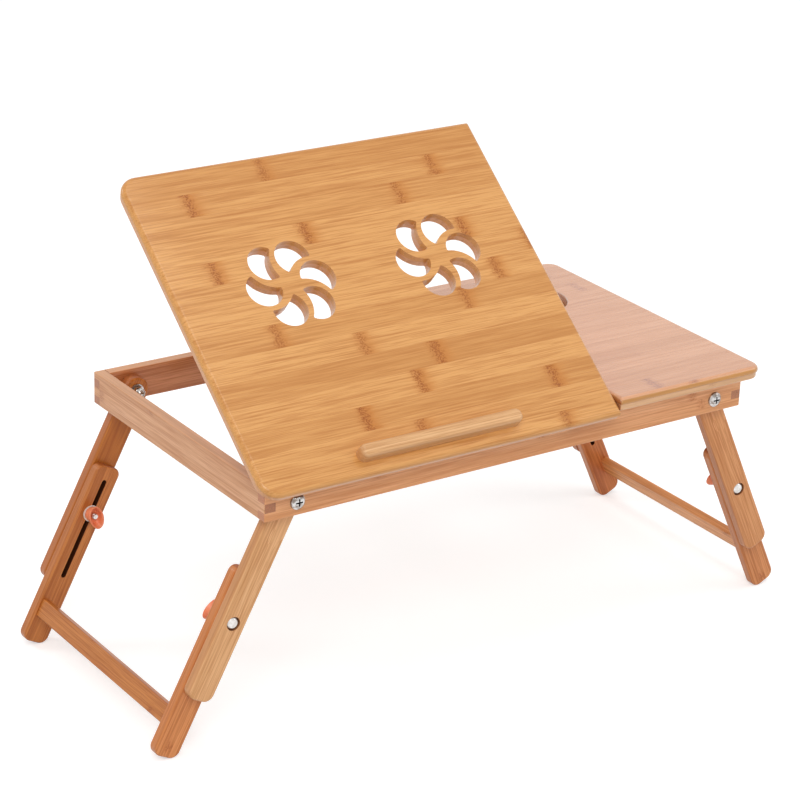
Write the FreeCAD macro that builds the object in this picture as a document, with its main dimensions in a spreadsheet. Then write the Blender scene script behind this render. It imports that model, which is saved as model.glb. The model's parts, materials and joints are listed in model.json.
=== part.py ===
import FreeCAD, Part
import Sketcher
import os

# A small bamboo bed table: a frame of four rails on folding, telescoping legs, a fixed top at the right
# and a tilting reading panel at the left that a hinged prop holds up at one of several notches.
# Table frame: x to the right, y to the back, z up, from the frame's front left bottom corner.

document = FreeCAD.newDocument("bed_table")
pieces = []

drivingSizes = {
    # frame of four rails
    "frameLength": 478.0,
    "frameDepth": 275.0,
    "frameHeight": 28.2,
    "railThickness": 10.0,
    "topFinger": 5.2,
    "railEdgeRound": 0.9,
    # the two tops, each a board on a backing
    "overhangFront": 13.0,
    "overhangRear": 12.0,
    "overhangLeft": 9.3,
    "overhangRight": 12.7,
    "boardThickness": 5.5,
    "backingThickness": 5.5,
    "backingInset": 0.9,
    "boardEdgeRound": 4.2,
    "boardUnderRound": 0.9,
    "backingEdgeRound": 1.6,
    "outerCorner": 17.0,
    "fixedCorner": 12.0,
    "seamCorner": 1.5,
    "seamPlace": 335.5,
    "seamGap": 1.0,
    "cupHoleShare": 0.4654,
    "cupHoleY": 215.0,
    "cupHoleRadius": 36.0,
    "cupHoleRound": 1.0,
    # tilting panel and its vents
    "tiltAngle": 38.5,
    "panelLift": 0.2,
    "ventFirstX": 97.5,
    "ventSecondX": 240.8,
    "ventY": 164.8,
    "petalCount": 6.0,
    "petalRadius": 15.7,
    "petalCentreX": 11.8,
    "petalCentreY": 23.0,
    "bladeRadius": 25.7,
    "bladeCentreX": 24.7,
    "bladeCentreY": -4.4,
    "petalCorner": 1.3,
    # book stop on the panel
    "stopCentreX": 158.4,
    "stopLength": 154.4,
    "stopFront": -2.2,
    "stopWidth": 12.0,
    "stopHeight": 11.0,
    "stopRound": 3.6,
    "stopEndRound": 5.4,
    "stopScrewSpan": 100.0,
    # butt hinges at the frame's front top edge
    "hingeFirstX": 55.0,
    "hingeSecondX": 272.0,
    "hingeLength": 40.0,
    "hingeLeafWidth": 9.0,
    "hingeLeafThickness": 0.9,
    "knuckleRadius": 2.0,
    "hingePinRadius": 1.0,
    "knuckleGap": 0.15,
    "hingeRoom": 0.3,
    "leafRoom": 0.1,
    "hingeScrewSpan": 26.0,
    # prop under the panel, and the notched racks that its rod drops into
    "propPivotDistance": 110.0,
    "propPivotDrop": 6.2,
    "propArmLength": 118.0,
    "propFollow": 0.95,
    "armWidth": 10.0,
    "armHeight": 7.6,
    "armClearance": 0.4,
    "rodRadius": 2.0,
    "rodEndGap": 1.0,
    "propPinRadius": 1.5,
    "bracketThickness": 1.5,
    "bracketLength": 18.0,
    "rackWidth": 10.0,
    "rackGap": 2.0,
    "rackBottom": 4.0,
    "rackFront": 150.0,
    "rackClearance": 0.25,
    "notchRadius": 2.6,
    "notchCount": 5.0,
    "notchPitch": 9.5,
    "battenBottom": 2.0,
    "leftBattenX": 92.0,
    "leftBattenWidth": 10.0,
    "seamBattenWidth": 14.0,
    "seamBattenShare": 4.5,
    "battenEndGap": 3.6,
    "tongueGap": 0.6,
    "tongueDepth": 3.0,
    # folding legs
    "leftSplay": 27.0,
    "rightSplay": 25.5,
    "pivotHeight": 11.7,
    "legWidth": 24.0,
    "legThickness": 10.0,
    "legEdgeRound": 2.0,
    "legEndCorner": 7.6,
    "legGap": 0.2,
    "legRestGap": 0.15,
    "upperLegReach": 177.0,
    "clampDistance": 109.6,
    "lowerLegTop": 67.0,
    "lowerLegCorner": 6.5,
    "lowerLegReach": 231.0,
    "slotTop": 81.2,
    "slotEnd": 167.8,
    "slotClearance": 0.2,
    "barTop": 191.7,
    "barHeight": 16.0,
    "barThickness": 7.8,
    "barOuter": 9.2,
    "barTenon": 4.0,
    "barEdgeRound": 1.5,
    # pivot bolts and acorn nuts
    "boreClearance": 0.06,
    "pivotBoltRadius": 3.0,
    "pivotHeadRadius": 6.7,
    "pivotHeadHeight": 3.4,
    "driveLength": 6.4,
    "driveWidth": 1.3,
    "driveDepth": 1.8,
    "washerThickness": 1.0,
    "pivotWasherRadius": 6.4,
    "nutRadius": 5.6,
    "nutHeight": 4.4,
    "nutDomeRadius": 4.6,
    # clamp bolts and thumb nuts
    "clampBoltRadius": 2.0,
    "clampHeadRadius": 4.8,
    "clampHeadHeight": 2.3,
    "clampRecessRadius": 5.8,
    "clampRecessDepth": 2.8,
    "clampWasherRadius": 7.2,
    "knobLength": 22.0,
    "knobWidth": 13.0,
    "knobHeight": 10.0,
    "knobGap": 0.1,
    "knobRecess": 5.4,
    "knobWall": 1.9,
    "knobRound": 0.9,
    "boltTipDepth": 2.4,
    "leftFrontKnobTurn": 28.0,
    "leftRearKnobTurn": -43.0,
    "rightFrontKnobTurn": 97.0,
    "rightRearKnobTurn": 20.0,
    # screws and dowels
    "screwRadius": 1.3,
    "screwHeadRadius": 2.5,
    "screwHeadHeight": 1.4,
    "hingeScrewLength": 4.2,
    "stopScrewLength": 17.0,
    "bracketScrewLength": 7.0,
    "rackScrewLength": 15.0,
    "rackScrewShare": 0.15,
    "dowelRadius": 2.5,
    "dowelDepth": 9.0,
    "dowelRise": 4.5,
    "dowelInset": 30.0,
}

# a leg stands out until its edge rests against the end rail's foot
restingPivot = (
    "dim.railThickness + (dim.legWidth / 2 + dim.legRestGap + dim.pivotHeight * sin(dim.{0}Splay))"
    " / cos(dim.{0}Splay)"
)

workedOutPlaces = {
    "leftPivotX": restingPivot.format("left"),
    "rightPivotX": restingPivot.format("right"),
    "footDrop": "dim.pivotHeight - (dim.lowerLegReach - dim.legEndCorner) * cos(dim.leftSplay)"
    " - (dim.legWidth / 2 - dim.legEndCorner) * sin(dim.leftSplay) - dim.legEndCorner",
    "rightReach": "dim.legEndCorner + (dim.pivotHeight - loc.footDrop - dim.legEndCorner"
    " - (dim.legWidth / 2 - dim.legEndCorner) * sin(dim.rightSplay)) / cos(dim.rightSplay)",
    "rightLift": "dim.lowerLegReach - loc.rightReach",
    "cupHoleX": "dim.seamPlace + dim.seamGap / 2 + dim.cupHoleShare * (dim.frameLength"
    " + dim.overhangRight - dim.seamPlace - dim.seamGap / 2)",
    "hingeZ": "dim.frameHeight + dim.panelLift / 2",
    "topThickness": "dim.boardThickness + dim.backingThickness",
    "frontReach": "-(dim.overhangFront - dim.boardEdgeRound) * cos(dim.tiltAngle)"
    " - (dim.panelLift / 2 + dim.boardThickness + dim.backingThickness - dim.boardEdgeRound)"
    " * sin(dim.tiltAngle) - dim.boardEdgeRound",
    "originX": "dim.frameLength / 2",
    "originY": "(loc.frontReach + dim.frameDepth + dim.overhangRear) / 2",
    "originZ": "loc.footDrop",
    "propTurn": "dim.propFollow * dim.tiltAngle",
    "propY": "dim.propPivotDistance * cos(dim.tiltAngle) + dim.propPivotDrop * sin(dim.tiltAngle)",
    "propZ": "loc.hingeZ + dim.propPivotDistance * sin(dim.tiltAngle)"
    " - dim.propPivotDrop * cos(dim.tiltAngle)",
    "rodY": "loc.propY + dim.propArmLength * cos(loc.propTurn)",
    "rodZ": "loc.propZ - dim.propArmLength * sin(loc.propTurn)",
    "rackTop": "loc.rodZ - dim.rodRadius - dim.rackClearance",
    "knobBase": "2 * dim.legThickness + 3 * dim.legGap + dim.washerThickness",
    "battenFront": "dim.railThickness + loc.knobBase + dim.knobGap + dim.knobHeight + dim.battenEndGap",
    "tongueBottom": "dim.pivotHeight + dim.legWidth / 2 + dim.tongueGap",
    "battenRear": "dim.frameDepth - loc.battenFront",
    "leftRackX": "dim.leftBattenX + dim.leftBattenWidth",
    "leftArmX": "loc.leftRackX + dim.rackWidth + dim.rackGap",
    "seamBattenX": "dim.seamPlace - dim.seamBattenShare",
    "seamRackX": "loc.seamBattenX - dim.rackWidth",
    "rightArmX": "loc.seamRackX - dim.rackGap - dim.armWidth",
}


def makeSheet(name, cells):
    sheet = document.addObject("Spreadsheet::Sheet", name)
    for row, (alias, content) in enumerate(cells.items(), start=1):
        sheet.set(f"A{row}", alias)
        sheet.set(f"B{row}", content)
        sheet.setAlias(f"B{row}", alias)
    document.recompute()
    return sheet


dim = makeSheet("dim", {alias: str(size) for alias, size in drivingSizes.items()})
loc = makeSheet("loc", {alias: "=" + formula for alias, formula in workedOutPlaces.items()})

# where each moving group's own axes lie at rest: a base point and a turn about X or Y, in degrees
frames = {
    "table": (("-loc.originX", "-loc.originY", "-loc.originZ"), None, None),
    "panel": (("-loc.originX", "-loc.originY", "loc.hingeZ - loc.originZ"), (1, 0, 0), "dim.tiltAngle"),
    "prop": (
        ("-loc.originX", "loc.propY - loc.originY", "loc.propZ - loc.originZ"),
        (1, 0, 0),
        "-loc.propTurn",
    ),
    "left": (
        ("loc.leftPivotX - loc.originX", "-loc.originY", "dim.pivotHeight - loc.originZ"),
        (0, 1, 0),
        "dim.leftSplay",
    ),
    "right": (
        ("dim.frameLength - loc.rightPivotX - loc.originX", "-loc.originY", "dim.pivotHeight - loc.originZ"),
        (0, 1, 0),
        "-dim.rightSplay",
    ),
}
# the right lower legs slide up a little, so that all four feet stand level
frames["leftLower"] = frames["left"]
frames["rightLower"] = (
    (
        f"{frames['right'][0][0]} - loc.rightLift * sin(dim.rightSplay)",
        "-loc.originY",
        f"{frames['right'][0][2]} + loc.rightLift * cos(dim.rightSplay)",
    ),
    (0, 1, 0),
    "-dim.rightSplay",
)


def bind(thing, expressions):
    for target, expression in expressions.items():
        thing.setExpression(target, expression)


def putAt(thing, corner):
    bind(thing, dict(zip(("Placement.Base.x", "Placement.Base.y", "Placement.Base.z"), corner)))


def keep(thing, node, frame):
    base, axis, angle = frames[frame]
    thing.Label = node
    if axis:
        thing.Placement = FreeCAD.Placement(FreeCAD.Vector(), FreeCAD.Rotation(FreeCAD.Vector(*axis), 1))
        thing.setExpression("Placement.Rotation.Angle", angle)
    putAt(thing, base)
    pieces.append(thing)
    return thing


def block(corner, size, name="block"):
    box = document.addObject("Part::Box", name)
    bind(box, dict(zip(("Length", "Width", "Height"), size)))
    putAt(box, corner)
    return box


turns = {
    "x": FreeCAD.Rotation(FreeCAD.Vector(0, 1, 0), 90),
    "-x": FreeCAD.Rotation(FreeCAD.Vector(0, 1, 0), -90),
    "y": FreeCAD.Rotation(FreeCAD.Vector(1, 0, 0), -90),
    "-y": FreeCAD.Rotation(FreeCAD.Vector(1, 0, 0), 90),
    "z": FreeCAD.Rotation(),
    "-z": FreeCAD.Rotation(FreeCAD.Vector(1, 0, 0), 180),
}


def rod(direction, start, length, radius, name="rod"):
    cylinder = document.addObject("Part::Cylinder", name)
    cylinder.Placement = FreeCAD.Placement(FreeCAD.Vector(), turns[direction])
    bind(cylinder, {"Radius": radius, "Height": length})
    putAt(cylinder, start)
    return cylinder


def cone(direction, start, length, radius, endRadius, name="cone"):
    taper = document.addObject("Part::Cone", name)
    taper.Placement = FreeCAD.Placement(FreeCAD.Vector(), turns[direction])
    bind(taper, {"Radius1": radius, "Radius2": endRadius, "Height": length})
    putAt(taper, start)
    return taper


def group(things, name="group"):
    compound = document.addObject("Part::Compound", name)
    compound.Links = things
    return compound


def join(things, name="joined"):
    fuse = document.addObject("Part::MultiFuse", name)
    fuse.Shapes = things
    fuse.Refine = True
    return fuse


def cut(base, tools, name="cut"):
    result = document.addObject("Part::Cut", name)
    result.Base = base
    result.Tool = tools[0] if len(tools) == 1 else group(tools, "tools")
    return result


def roundEdges(base, radius, chosen, name="rounded"):
    document.recompute()
    fillet = document.addObject("Part::Fillet", name)
    fillet.Base = base
    size = dim.get(radius)
    fillet.Edges = [
        (number, size, size) for number, edge in enumerate(base.Shape.Edges, start=1) if chosen(edge)
    ]
    return fillet


def isStraightAlong(edge, axis):
    if not isinstance(edge.Curve, Part.Line):
        return False
    return abs(abs(edge.Curve.Direction.dot(FreeCAD.Vector(*axis))) - 1) < 1e-6


# sketches: every corner is held from the sketch's own origin by two named sizes


def startBody(name):
    return document.addObject("PartDesign::Body", name)


def startSketch(body, plane, name, offset=None):
    sketch = body.newObject("Sketcher::SketchObject", name)
    origin = next(o for o in body.Origin.OriginFeatures if o.Role == plane)
    sketch.AttachmentSupport = [(origin, "")]
    sketch.MapMode = "FlatFace"
    if offset:
        bind(sketch, {f"AttachmentOffset.Base.{letter}": place for letter, place in zip("xyz", offset)})
    return sketch


def hold(sketch, item, point, x, y):
    spot = sketch.getPoint(item, point)
    for kind, start, expression in (("DistanceX", spot.x, x), ("DistanceY", spot.y, y)):
        if expression is None:
            continue
        index = sketch.addConstraint(Sketcher.Constraint(kind, -1, 1, item, point, start))
        sketch.setExpression(f"Constraints[{index}]", expression)


def holdRadius(sketch, item, radius):
    start = sketch.Geometry[item].Radius
    index = sketch.addConstraint(Sketcher.Constraint("Radius", item, start))
    sketch.setExpression(f"Constraints[{index}]", radius)


def drawPolygon(sketch, corners):
    count = len(corners)
    guess = [
        FreeCAD.Rotation(FreeCAD.Vector(0, 0, 1), 360.0 * i / count).multVec(FreeCAD.Vector(50, 0, 0))
        for i in range(count)
    ]
    first = sketch.GeometryCount
    for i in range(count):
        sketch.addGeometry(Part.LineSegment(guess[i], guess[(i + 1) % count]), False)
    for i in range(count):
        sketch.addConstraint(
            Sketcher.Constraint("Coincident", first + i, 2, first + (i + 1) % count, 1)
        )
    for i, (x, y) in enumerate(corners):
        hold(sketch, first + i, 1, x, y)


def drawRectangle(sketch, x0, y0, x1, y1):
    drawPolygon(sketch, [(x0, y0), (x1, y0), (x1, y1), (x0, y1)])


def drawStrip(sketch, top, bottom, radius, roundTop=True, roundBottom=True):
    """A bar along the sketch's y axis. Each end is a half round or, if asked, flat."""
    side = 10.0
    reach = 60.0
    point = FreeCAD.Vector

    def stripEnd(outward, isRound):
        start = point(side * outward, reach * outward, 0)
        stop = point(-side * outward, reach * outward, 0)
        crown = point(0, (reach + side) * outward, 0)
        line = Part.Arc(start, crown, stop) if isRound else Part.LineSegment(start, stop)
        return sketch.addGeometry(line, False)

    left = sketch.addGeometry(Part.LineSegment(point(-side, reach, 0), point(-side, -reach, 0)), False)
    right = sketch.addGeometry(Part.LineSegment(point(side, -reach, 0), point(side, reach, 0)), False)
    low = stripEnd(-1, roundBottom)
    high = stripEnd(1, roundTop)
    for one, two in (
        ((left, 2), (low, 1)),
        ((low, 2), (right, 1)),
        ((right, 2), (high, 1)),
        ((high, 2), (left, 1)),
    ):
        sketch.addConstraint(Sketcher.Constraint("Coincident", *one, *two))
    hold(sketch, left, 1, f"-({radius})", top)
    hold(sketch, left, 2, f"-({radius})", bottom)
    hold(sketch, right, 1, radius, bottom)
    hold(sketch, right, 2, radius, top)
    if roundBottom:
        hold(sketch, low, 3, None, bottom)
    if roundTop:
        hold(sketch, high, 3, None, top)


def pad(body, sketch, length, name="pad", backwards=False):
    feature = body.newObject("PartDesign::Pad", name)
    feature.Profile = sketch
    feature.setExpression("Length", length)
    feature.Reversed = backwards
    body.Tip = feature
    return feature


def pocketThrough(body, sketch, name="pocket", both=True):
    feature = body.newObject("PartDesign::Pocket", name)
    feature.Profile = sketch
    feature.Type = 1
    feature.Midplane = both
    body.Tip = feature
    return feature


def filletBody(body, radius, chosen, name="fillet"):
    document.recompute()
    last = body.Tip
    edges = [f"Edge{n}" for n, edge in enumerate(last.Shape.Edges, start=1) if chosen(edge)]
    feature = body.newObject("PartDesign::Fillet", name)
    feature.Base = (last, edges)
    feature.setExpression("Radius", radius)
    body.Tip = feature
    return feature


# rails: the end rails and the long rails share their corners as interlocking fingers


def fingerGaps(forEndRail):
    """Base and height of the two gaps that a rail leaves for its neighbour's fingers at each corner."""
    step = "(dim.frameHeight - dim.topFinger) / 3"
    if forEndRail:
        return [("0", step), (f"2 * {step}", step)]
    return [(step, step), ("dim.frameHeight - dim.topFinger", "dim.topFinger")]


def cornerTools(forEndRail):
    corners = []
    size = "dim.railThickness"
    for x in ("0", "dim.frameLength - dim.railThickness"):
        for y in ("0", "dim.frameDepth - dim.railThickness"):
            for low, height in fingerGaps(forEndRail):
                corners.append(((x, y, low), (size, size, height)))
    return corners


def boltHoles(radius):
    holes = []
    for x in ("loc.leftPivotX", "dim.frameLength - loc.rightPivotX"):
        holes.append(rod("y", (x, "0", "dim.pivotHeight"), "dim.frameDepth", radius, "boltHole"))
    return holes


def hingePlaces():
    return ("dim.hingeFirstX", "dim.hingeSecondX")


def hingeAxis(side):
    """Height of the hinge axis in the axes of the rail (side -1) or of the panel (side 1)."""
    return "loc.hingeZ" if side < 0 else "0"


def leafLevel(side, thickness):
    """Height of the lower face of a leaf, or of its pocket, that lies against the gap."""
    return f"dim.frameHeight - ({thickness})" if side < 0 else "dim.panelLift / 2"


def hingeRecess(side):
    """Room for one leaf and its knuckles at each hinge, in the rail's top or the panel's underside."""
    tools = []
    depth = "dim.hingeLeafThickness + dim.leafRoom"
    for x in hingePlaces():
        start = f"{x} - dim.hingeLength / 2 - dim.hingeRoom"
        length = "dim.hingeLength + 2 * dim.hingeRoom"
        tools.append(
            block((start, "0", leafLevel(side, depth)), (length, "dim.hingeLeafWidth + dim.hingeRoom", depth))
        )
        tools.append(rod("x", (start, "0", hingeAxis(side)), length, "dim.knuckleRadius + dim.hingeRoom"))
    return tools


def battenTongues():
    """The thin tongues at the battens' ends, as boxes that reach into the long rails."""
    tongues = []
    for x, width in (("dim.leftBattenX", "dim.leftBattenWidth"), ("loc.seamBattenX", "dim.seamBattenWidth")):
        tongues.append(
            block(
                (x, "dim.railThickness - dim.tongueDepth", "loc.tongueBottom"),
                (
                    width,
                    "dim.frameDepth - 2 * (dim.railThickness - dim.tongueDepth)",
                    "dim.frameHeight - loc.tongueBottom",
                ),
                "tongue",
            )
        )
    return tongues


def dowelPlaces():
    for x in ("dim.seamPlace + dim.dowelInset", "dim.frameLength - 2 * dim.dowelInset"):
        for y in ("dim.railThickness / 2", "dim.frameDepth - dim.railThickness / 2"):
            yield x, y


def dowelShafts():
    return [
        rod("z", (x, y, "dim.frameHeight - dim.dowelDepth"), "dim.dowelDepth + dim.dowelRise",
            "dim.dowelRadius", "dowel")
        for x, y in dowelPlaces()
    ]


def railStock(corner, size, isInnerUpright):
    """A rail before its joints are cut. Its edges are rounded, except the upright ones inside the frame."""
    stock = block(corner, size, "railStock")
    return roundEdges(
        stock,
        "railEdgeRound",
        lambda edge: not (isStraightAlong(edge, (0, 0, 1)) and isInnerUpright(edge.CenterOfMass)),
        "railRounded",
    )


def makeLongRail(node, y, isFront):
    middle = dim.get("frameDepth") / 2
    outer = 0 if isFront else dim.get("frameDepth")
    stock = railStock(
        ("0", y, "0"),
        ("dim.frameLength", "dim.railThickness", "dim.frameHeight"),
        lambda spot: abs(spot.y - outer) > 1e-4 and abs(spot.y - outer) < middle,
    )
    tools = [block(corner, size, "fingerGap") for corner, size in cornerTools(False)]
    tools += boltHoles("dim.pivotBoltRadius + dim.boreClearance")
    tools += battenTongues()
    tools += dowelShafts()
    if isFront:
        tools += hingeRecess(-1) + hingeScrews(-1)
    keep(cut(stock, tools, "rail"), node, "table")


def makeEndRail(node, x, isLeft):
    outer = 0 if isLeft else dim.get("frameLength")
    stock = railStock(
        (x, "0", "0"),
        ("dim.railThickness", "dim.frameDepth", "dim.frameHeight"),
        lambda spot: abs(spot.x - outer) > 1e-4,
    )
    tools = [block(corner, size, "fingerGap") for corner, size in cornerTools(True)]
    keep(cut(stock, tools, "rail"), node, "table")


# screws: a countersunk head and a plain shank


def screw(direction, head, length, headRadius="dim.screwHeadRadius"):
    neck = cone(direction, head, "dim.screwHeadHeight", headRadius, "dim.screwRadius", "screwHead")
    shank = rod(direction, head, length, "dim.screwRadius", "screwShank")
    return join([neck, shank], "screw")


def hingeScrews(side, places=None):
    """Screws of the rail leaves (side -1), in table axes, or of the panel leaves (side 1), in panel axes."""
    direction = "-z" if side < 0 else "z"
    head = "dim.frameHeight" if side < 0 else "dim.panelLift / 2"
    y = "(dim.knuckleRadius + dim.hingeLeafWidth) / 2"
    return [
        screw(direction, (f"{x} + {share} * dim.hingeScrewSpan", y, head), "dim.hingeScrewLength")
        for x in places or hingePlaces()
        for share in (-0.5, 0.5)
    ]


# hinges


def knuckleStretches(isRail):
    """Start and length of each knuckle of one leaf, from the hinge's left end."""
    third = "(dim.hingeLength / 3)"
    if isRail:
        length = f"{third} - dim.knuckleGap"
        return [("0", length), (f"2 * {third} + dim.knuckleGap", length)]
    return [(third, third)]


def makeLeaf(node, x, side, frame):
    start = f"{x} - dim.hingeLength / 2"
    level = leafLevel(side, "dim.hingeLeafThickness")
    axis = hingeAxis(side)
    plateStart = "(dim.knuckleRadius + dim.hingeRoom / 2)"
    parts = [
        block(
            (start, plateStart, level),
            ("dim.hingeLength", f"dim.hingeLeafWidth - {plateStart}", "dim.hingeLeafThickness"),
            "leafPlate",
        )
    ]
    for offset, length in knuckleStretches(side < 0):
        parts.append(rod("x", (f"{start} + {offset}", "0", axis), length, "dim.knuckleRadius", "knuckle"))
        parts.append(
            block(
                (f"{start} + {offset}", "dim.hingePinRadius", level),
                (length, f"{plateStart} - dim.hingePinRadius", "dim.hingeLeafThickness"),
                "leafNeck",
            )
        )
    pinRoom = "dim.hingePinRadius + dim.boreClearance"
    tools = [rod("x", (start, "0", axis), "dim.hingeLength", pinRoom, "pinHole")] + hingeScrews(side, [x])
    keep(cut(join(parts, "leaf"), tools, "leafBored"), node, frame)


def makeHinges():
    for name, x in zip(("left", "right"), hingePlaces()):
        makeLeaf(f"{name}_hinge_rail_leaf", x, -1, "table")
        makeLeaf(f"{name}_hinge_panel_leaf", x, 1, "panel")
        pin = rod("x", (f"{x} - dim.hingeLength / 2", "0", "loc.hingeZ"), "dim.hingeLength",
                  "dim.hingePinRadius", "hingePin")
        keep(group([pin]), f"{name}_hinge_pin", "table")
    keep(group(hingeScrews(-1)), "hinge_rail_screws", "table")
    keep(group(hingeScrews(1)), "hinge_panel_screws", "panel")


# tops


def addPetals(body, x, y, name):
    sketch = startSketch(body, "XY_Plane", name, (x, y, "0"))
    point = FreeCAD.Vector
    hubCorner = point(3.4, 10, 0)
    tip = point(27.3, 21.2, 0)
    outer = Part.Arc(hubCorner, point(0, 33, 0), tip)
    inner = Part.Arc(hubCorner, point(14, 19, 0), tip)
    big = sketch.addGeometry(outer, False)
    small = sketch.addGeometry(inner, False)
    ends = {}
    for item in (big, small):
        arc = sketch.Geometry[item]
        startsAtHub = arc.StartPoint.distanceToPoint(hubCorner) < arc.EndPoint.distanceToPoint(hubCorner)
        ends[item] = (1, 2) if startsAtHub else (2, 1)
    for bigEnd, smallEnd in zip(ends[big], ends[small]):
        sketch.addConstraint(Sketcher.Constraint("Coincident", big, bigEnd, small, smallEnd))
    hold(sketch, big, 3, "dim.petalCentreX", "dim.petalCentreY")
    hold(sketch, small, 3, "dim.bladeCentreX", "dim.bladeCentreY")
    holdRadius(sketch, big, "dim.petalRadius")
    holdRadius(sketch, small, "dim.bladeRadius")
    document.recompute()
    pocket = pocketThrough(body, sketch, name + "Cut")
    document.recompute()
    pattern = body.newObject("PartDesign::PolarPattern", name + "Pattern")
    pattern.Originals = [pocket]
    pattern.Axis = (sketch, ["N_Axis"])
    pattern.Angle = 360
    pattern.setExpression("Occurrences", "dim.petalCount")
    body.Tip = pattern
    document.recompute()


def makeTopLayer(node, frame, outline, z, thickness, corners, vents, cupHole, topRound, underRound):
    """One layer of a top. outline and corners are expressions; corners pairs a test on x with a radius."""
    x0, y0, x1, y1 = outline
    body = startBody(node)
    sketch = startSketch(body, "XY_Plane", "outline", ("0", "0", z))
    drawRectangle(sketch, x0, y0, x1, y1)
    if cupHole:
        centre = FreeCAD.Vector(loc.get("cupHoleX"), dim.get("cupHoleY"), 0)
        circle = Part.Circle(centre, FreeCAD.Vector(0, 0, 1), dim.get("cupHoleRadius"))
        item = sketch.addGeometry(circle, False)
        hold(sketch, item, 3, "loc.cupHoleX", "dim.cupHoleY")
        holdRadius(sketch, item, "dim.cupHoleRadius")
    pad(body, sketch, thickness)
    document.recompute()
    middle = body.Shape.BoundBox.Center
    for isLeft, radius in corners:
        filletBody(
            body,
            radius,
            lambda edge: isStraightAlong(edge, (0, 0, 1))
            and (edge.CenterOfMass.x < middle.x) == isLeft,
            "corner",
        )
    for number, (x, y) in enumerate(vents):
        addPetals(body, x, y, f"vent{number}")
    if vents:
        reach = dim.get("petalRadius") + dim.get("petalCentreY") + 5
        centres = [(dim.get(x), dim.get(y)) for x, y in (("ventFirstX", "ventY"), ("ventSecondX", "ventY"))]

        def isPetalCorner(edge):
            spot = edge.CenterOfMass
            near = any((spot.x - x) ** 2 + (spot.y - y) ** 2 < reach**2 for x, y in centres)
            return near and isStraightAlong(edge, (0, 0, 1))

        filletBody(body, "dim.petalCorner", isPetalCorner, "petalCorners")
    box = body.Shape.BoundBox
    seamIsRight = frame == "panel"

    def isOuterEdge(edge, level):
        spot = edge.BoundBox
        flat = abs(spot.ZMin - level) < 1e-4 and abs(spot.ZMax - level) < 1e-4
        seam = box.XMax if seamIsRight else box.XMin
        onSeam = abs(spot.XMin - seam) < 1e-4 and abs(spot.XMax - seam) < 1e-4
        rim = min(spot.XMin - box.XMin, box.XMax - spot.XMax, spot.YMin - box.YMin, box.YMax - spot.YMax)
        return flat and not onSeam and rim < 1e-3

    for radius, level in ((topRound, box.ZMax), (underRound, box.ZMin)):
        if radius:
            filletBody(body, radius, lambda edge: isOuterEdge(edge, level), "edge")
    if cupHole and topRound:
        rim = dim.get("cupHoleRadius")
        filletBody(
            body,
            "dim.cupHoleRound",
            lambda edge: edge.BoundBox.ZMin > box.ZMax - 1e-4
            and abs(edge.BoundBox.XLength - 2 * rim) < 1e-3,
            "cupHoleRim",
        )
    return body


def makeTops():
    seamLeft = "dim.seamPlace - dim.seamGap / 2"
    seamRight = "dim.seamPlace + dim.seamGap / 2"
    front = "-dim.overhangFront"
    rear = "dim.frameDepth + dim.overhangRear"
    left = "-dim.overhangLeft"
    right = "dim.frameLength + dim.overhangRight"
    inset = "dim.backingInset"
    vents = [("dim.ventFirstX", "dim.ventY"), ("dim.ventSecondX", "dim.ventY")]
    tiltCorners = [(True, "dim.outerCorner"), (False, "dim.seamCorner")]
    fixedCorners = [(True, "dim.seamCorner"), (False, "dim.fixedCorner")]
    tiltBase = "dim.panelLift / 2"
    screwTools = hingeScrews(1) + stopScrews() + bracketScrews()
    board = makeTopLayer(
        "tilt_board_body", "panel", (left, front, seamLeft, rear), f"{tiltBase} + dim.backingThickness",
        "dim.boardThickness", tiltCorners, vents, False, "dim.boardEdgeRound", "dim.boardUnderRound",
    )
    keep(cut(board, screwTools, "board"), "tilt_board", "panel")
    backing = makeTopLayer(
        "tilt_backing_body", "panel",
        (f"{left} + {inset}", f"{front} + {inset}", seamLeft, f"{rear} - {inset}"), tiltBase,
        "dim.backingThickness", tiltCorners, vents, False, None, "dim.backingEdgeRound",
    )
    tools = hingeRecess(1) + hingeScrews(1) + stopScrews() + bracketScrews()
    keep(cut(backing, tools, "backing"), "tilt_backing", "panel")
    board = makeTopLayer(
        "fixed_board_body", "table", (seamRight, front, right, rear),
        "dim.frameHeight + dim.backingThickness", "dim.boardThickness", fixedCorners, [], True,
        "dim.boardEdgeRound", "dim.boardUnderRound",
    )
    keep(board, "fixed_board", "table")
    backing = makeTopLayer(
        "fixed_backing_body", "table",
        (seamRight, f"{front} + {inset}", f"{right} - {inset}", f"{rear} - {inset}"), "dim.frameHeight",
        "dim.backingThickness", fixedCorners, [], True, None, "dim.backingEdgeRound",
    )
    keep(cut(backing, dowelShafts(), "backing"), "fixed_backing", "table")
    keep(group(dowelShafts()), "fixed_top_dowels", "table")


# book stop


def stopScrews():
    return [
        screw("z", (f"dim.stopCentreX + {share} * dim.stopScrewSpan", "dim.stopFront + dim.stopWidth / 2",
                    "dim.panelLift / 2"), "dim.stopScrewLength")
        for share in (-0.5, 0.5)
    ]


def makeBookStop():
    body = startBody("book_stop_body")
    sketch = startSketch(body, "XY_Plane", "outline", ("0", "0", "dim.panelLift / 2 + loc.topThickness"))
    drawRectangle(
        sketch, "dim.stopCentreX - dim.stopLength / 2", "dim.stopFront",
        "dim.stopCentreX + dim.stopLength / 2", "dim.stopFront + dim.stopWidth",
    )
    pad(body, sketch, "dim.stopHeight")
    filletBody(body, "dim.stopEndRound", lambda edge: isStraightAlong(edge, (0, 0, 1)), "ends")
    top = body.Shape.BoundBox.ZMax
    filletBody(body, "dim.stopRound", lambda edge: edge.BoundBox.ZMin > top - 1e-4, "topEdge")
    keep(cut(body, stopScrews(), "stop"), "book_stop", "panel")
    keep(group(stopScrews()), "book_stop_screws", "panel")


# battens and racks under the tops


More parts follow.
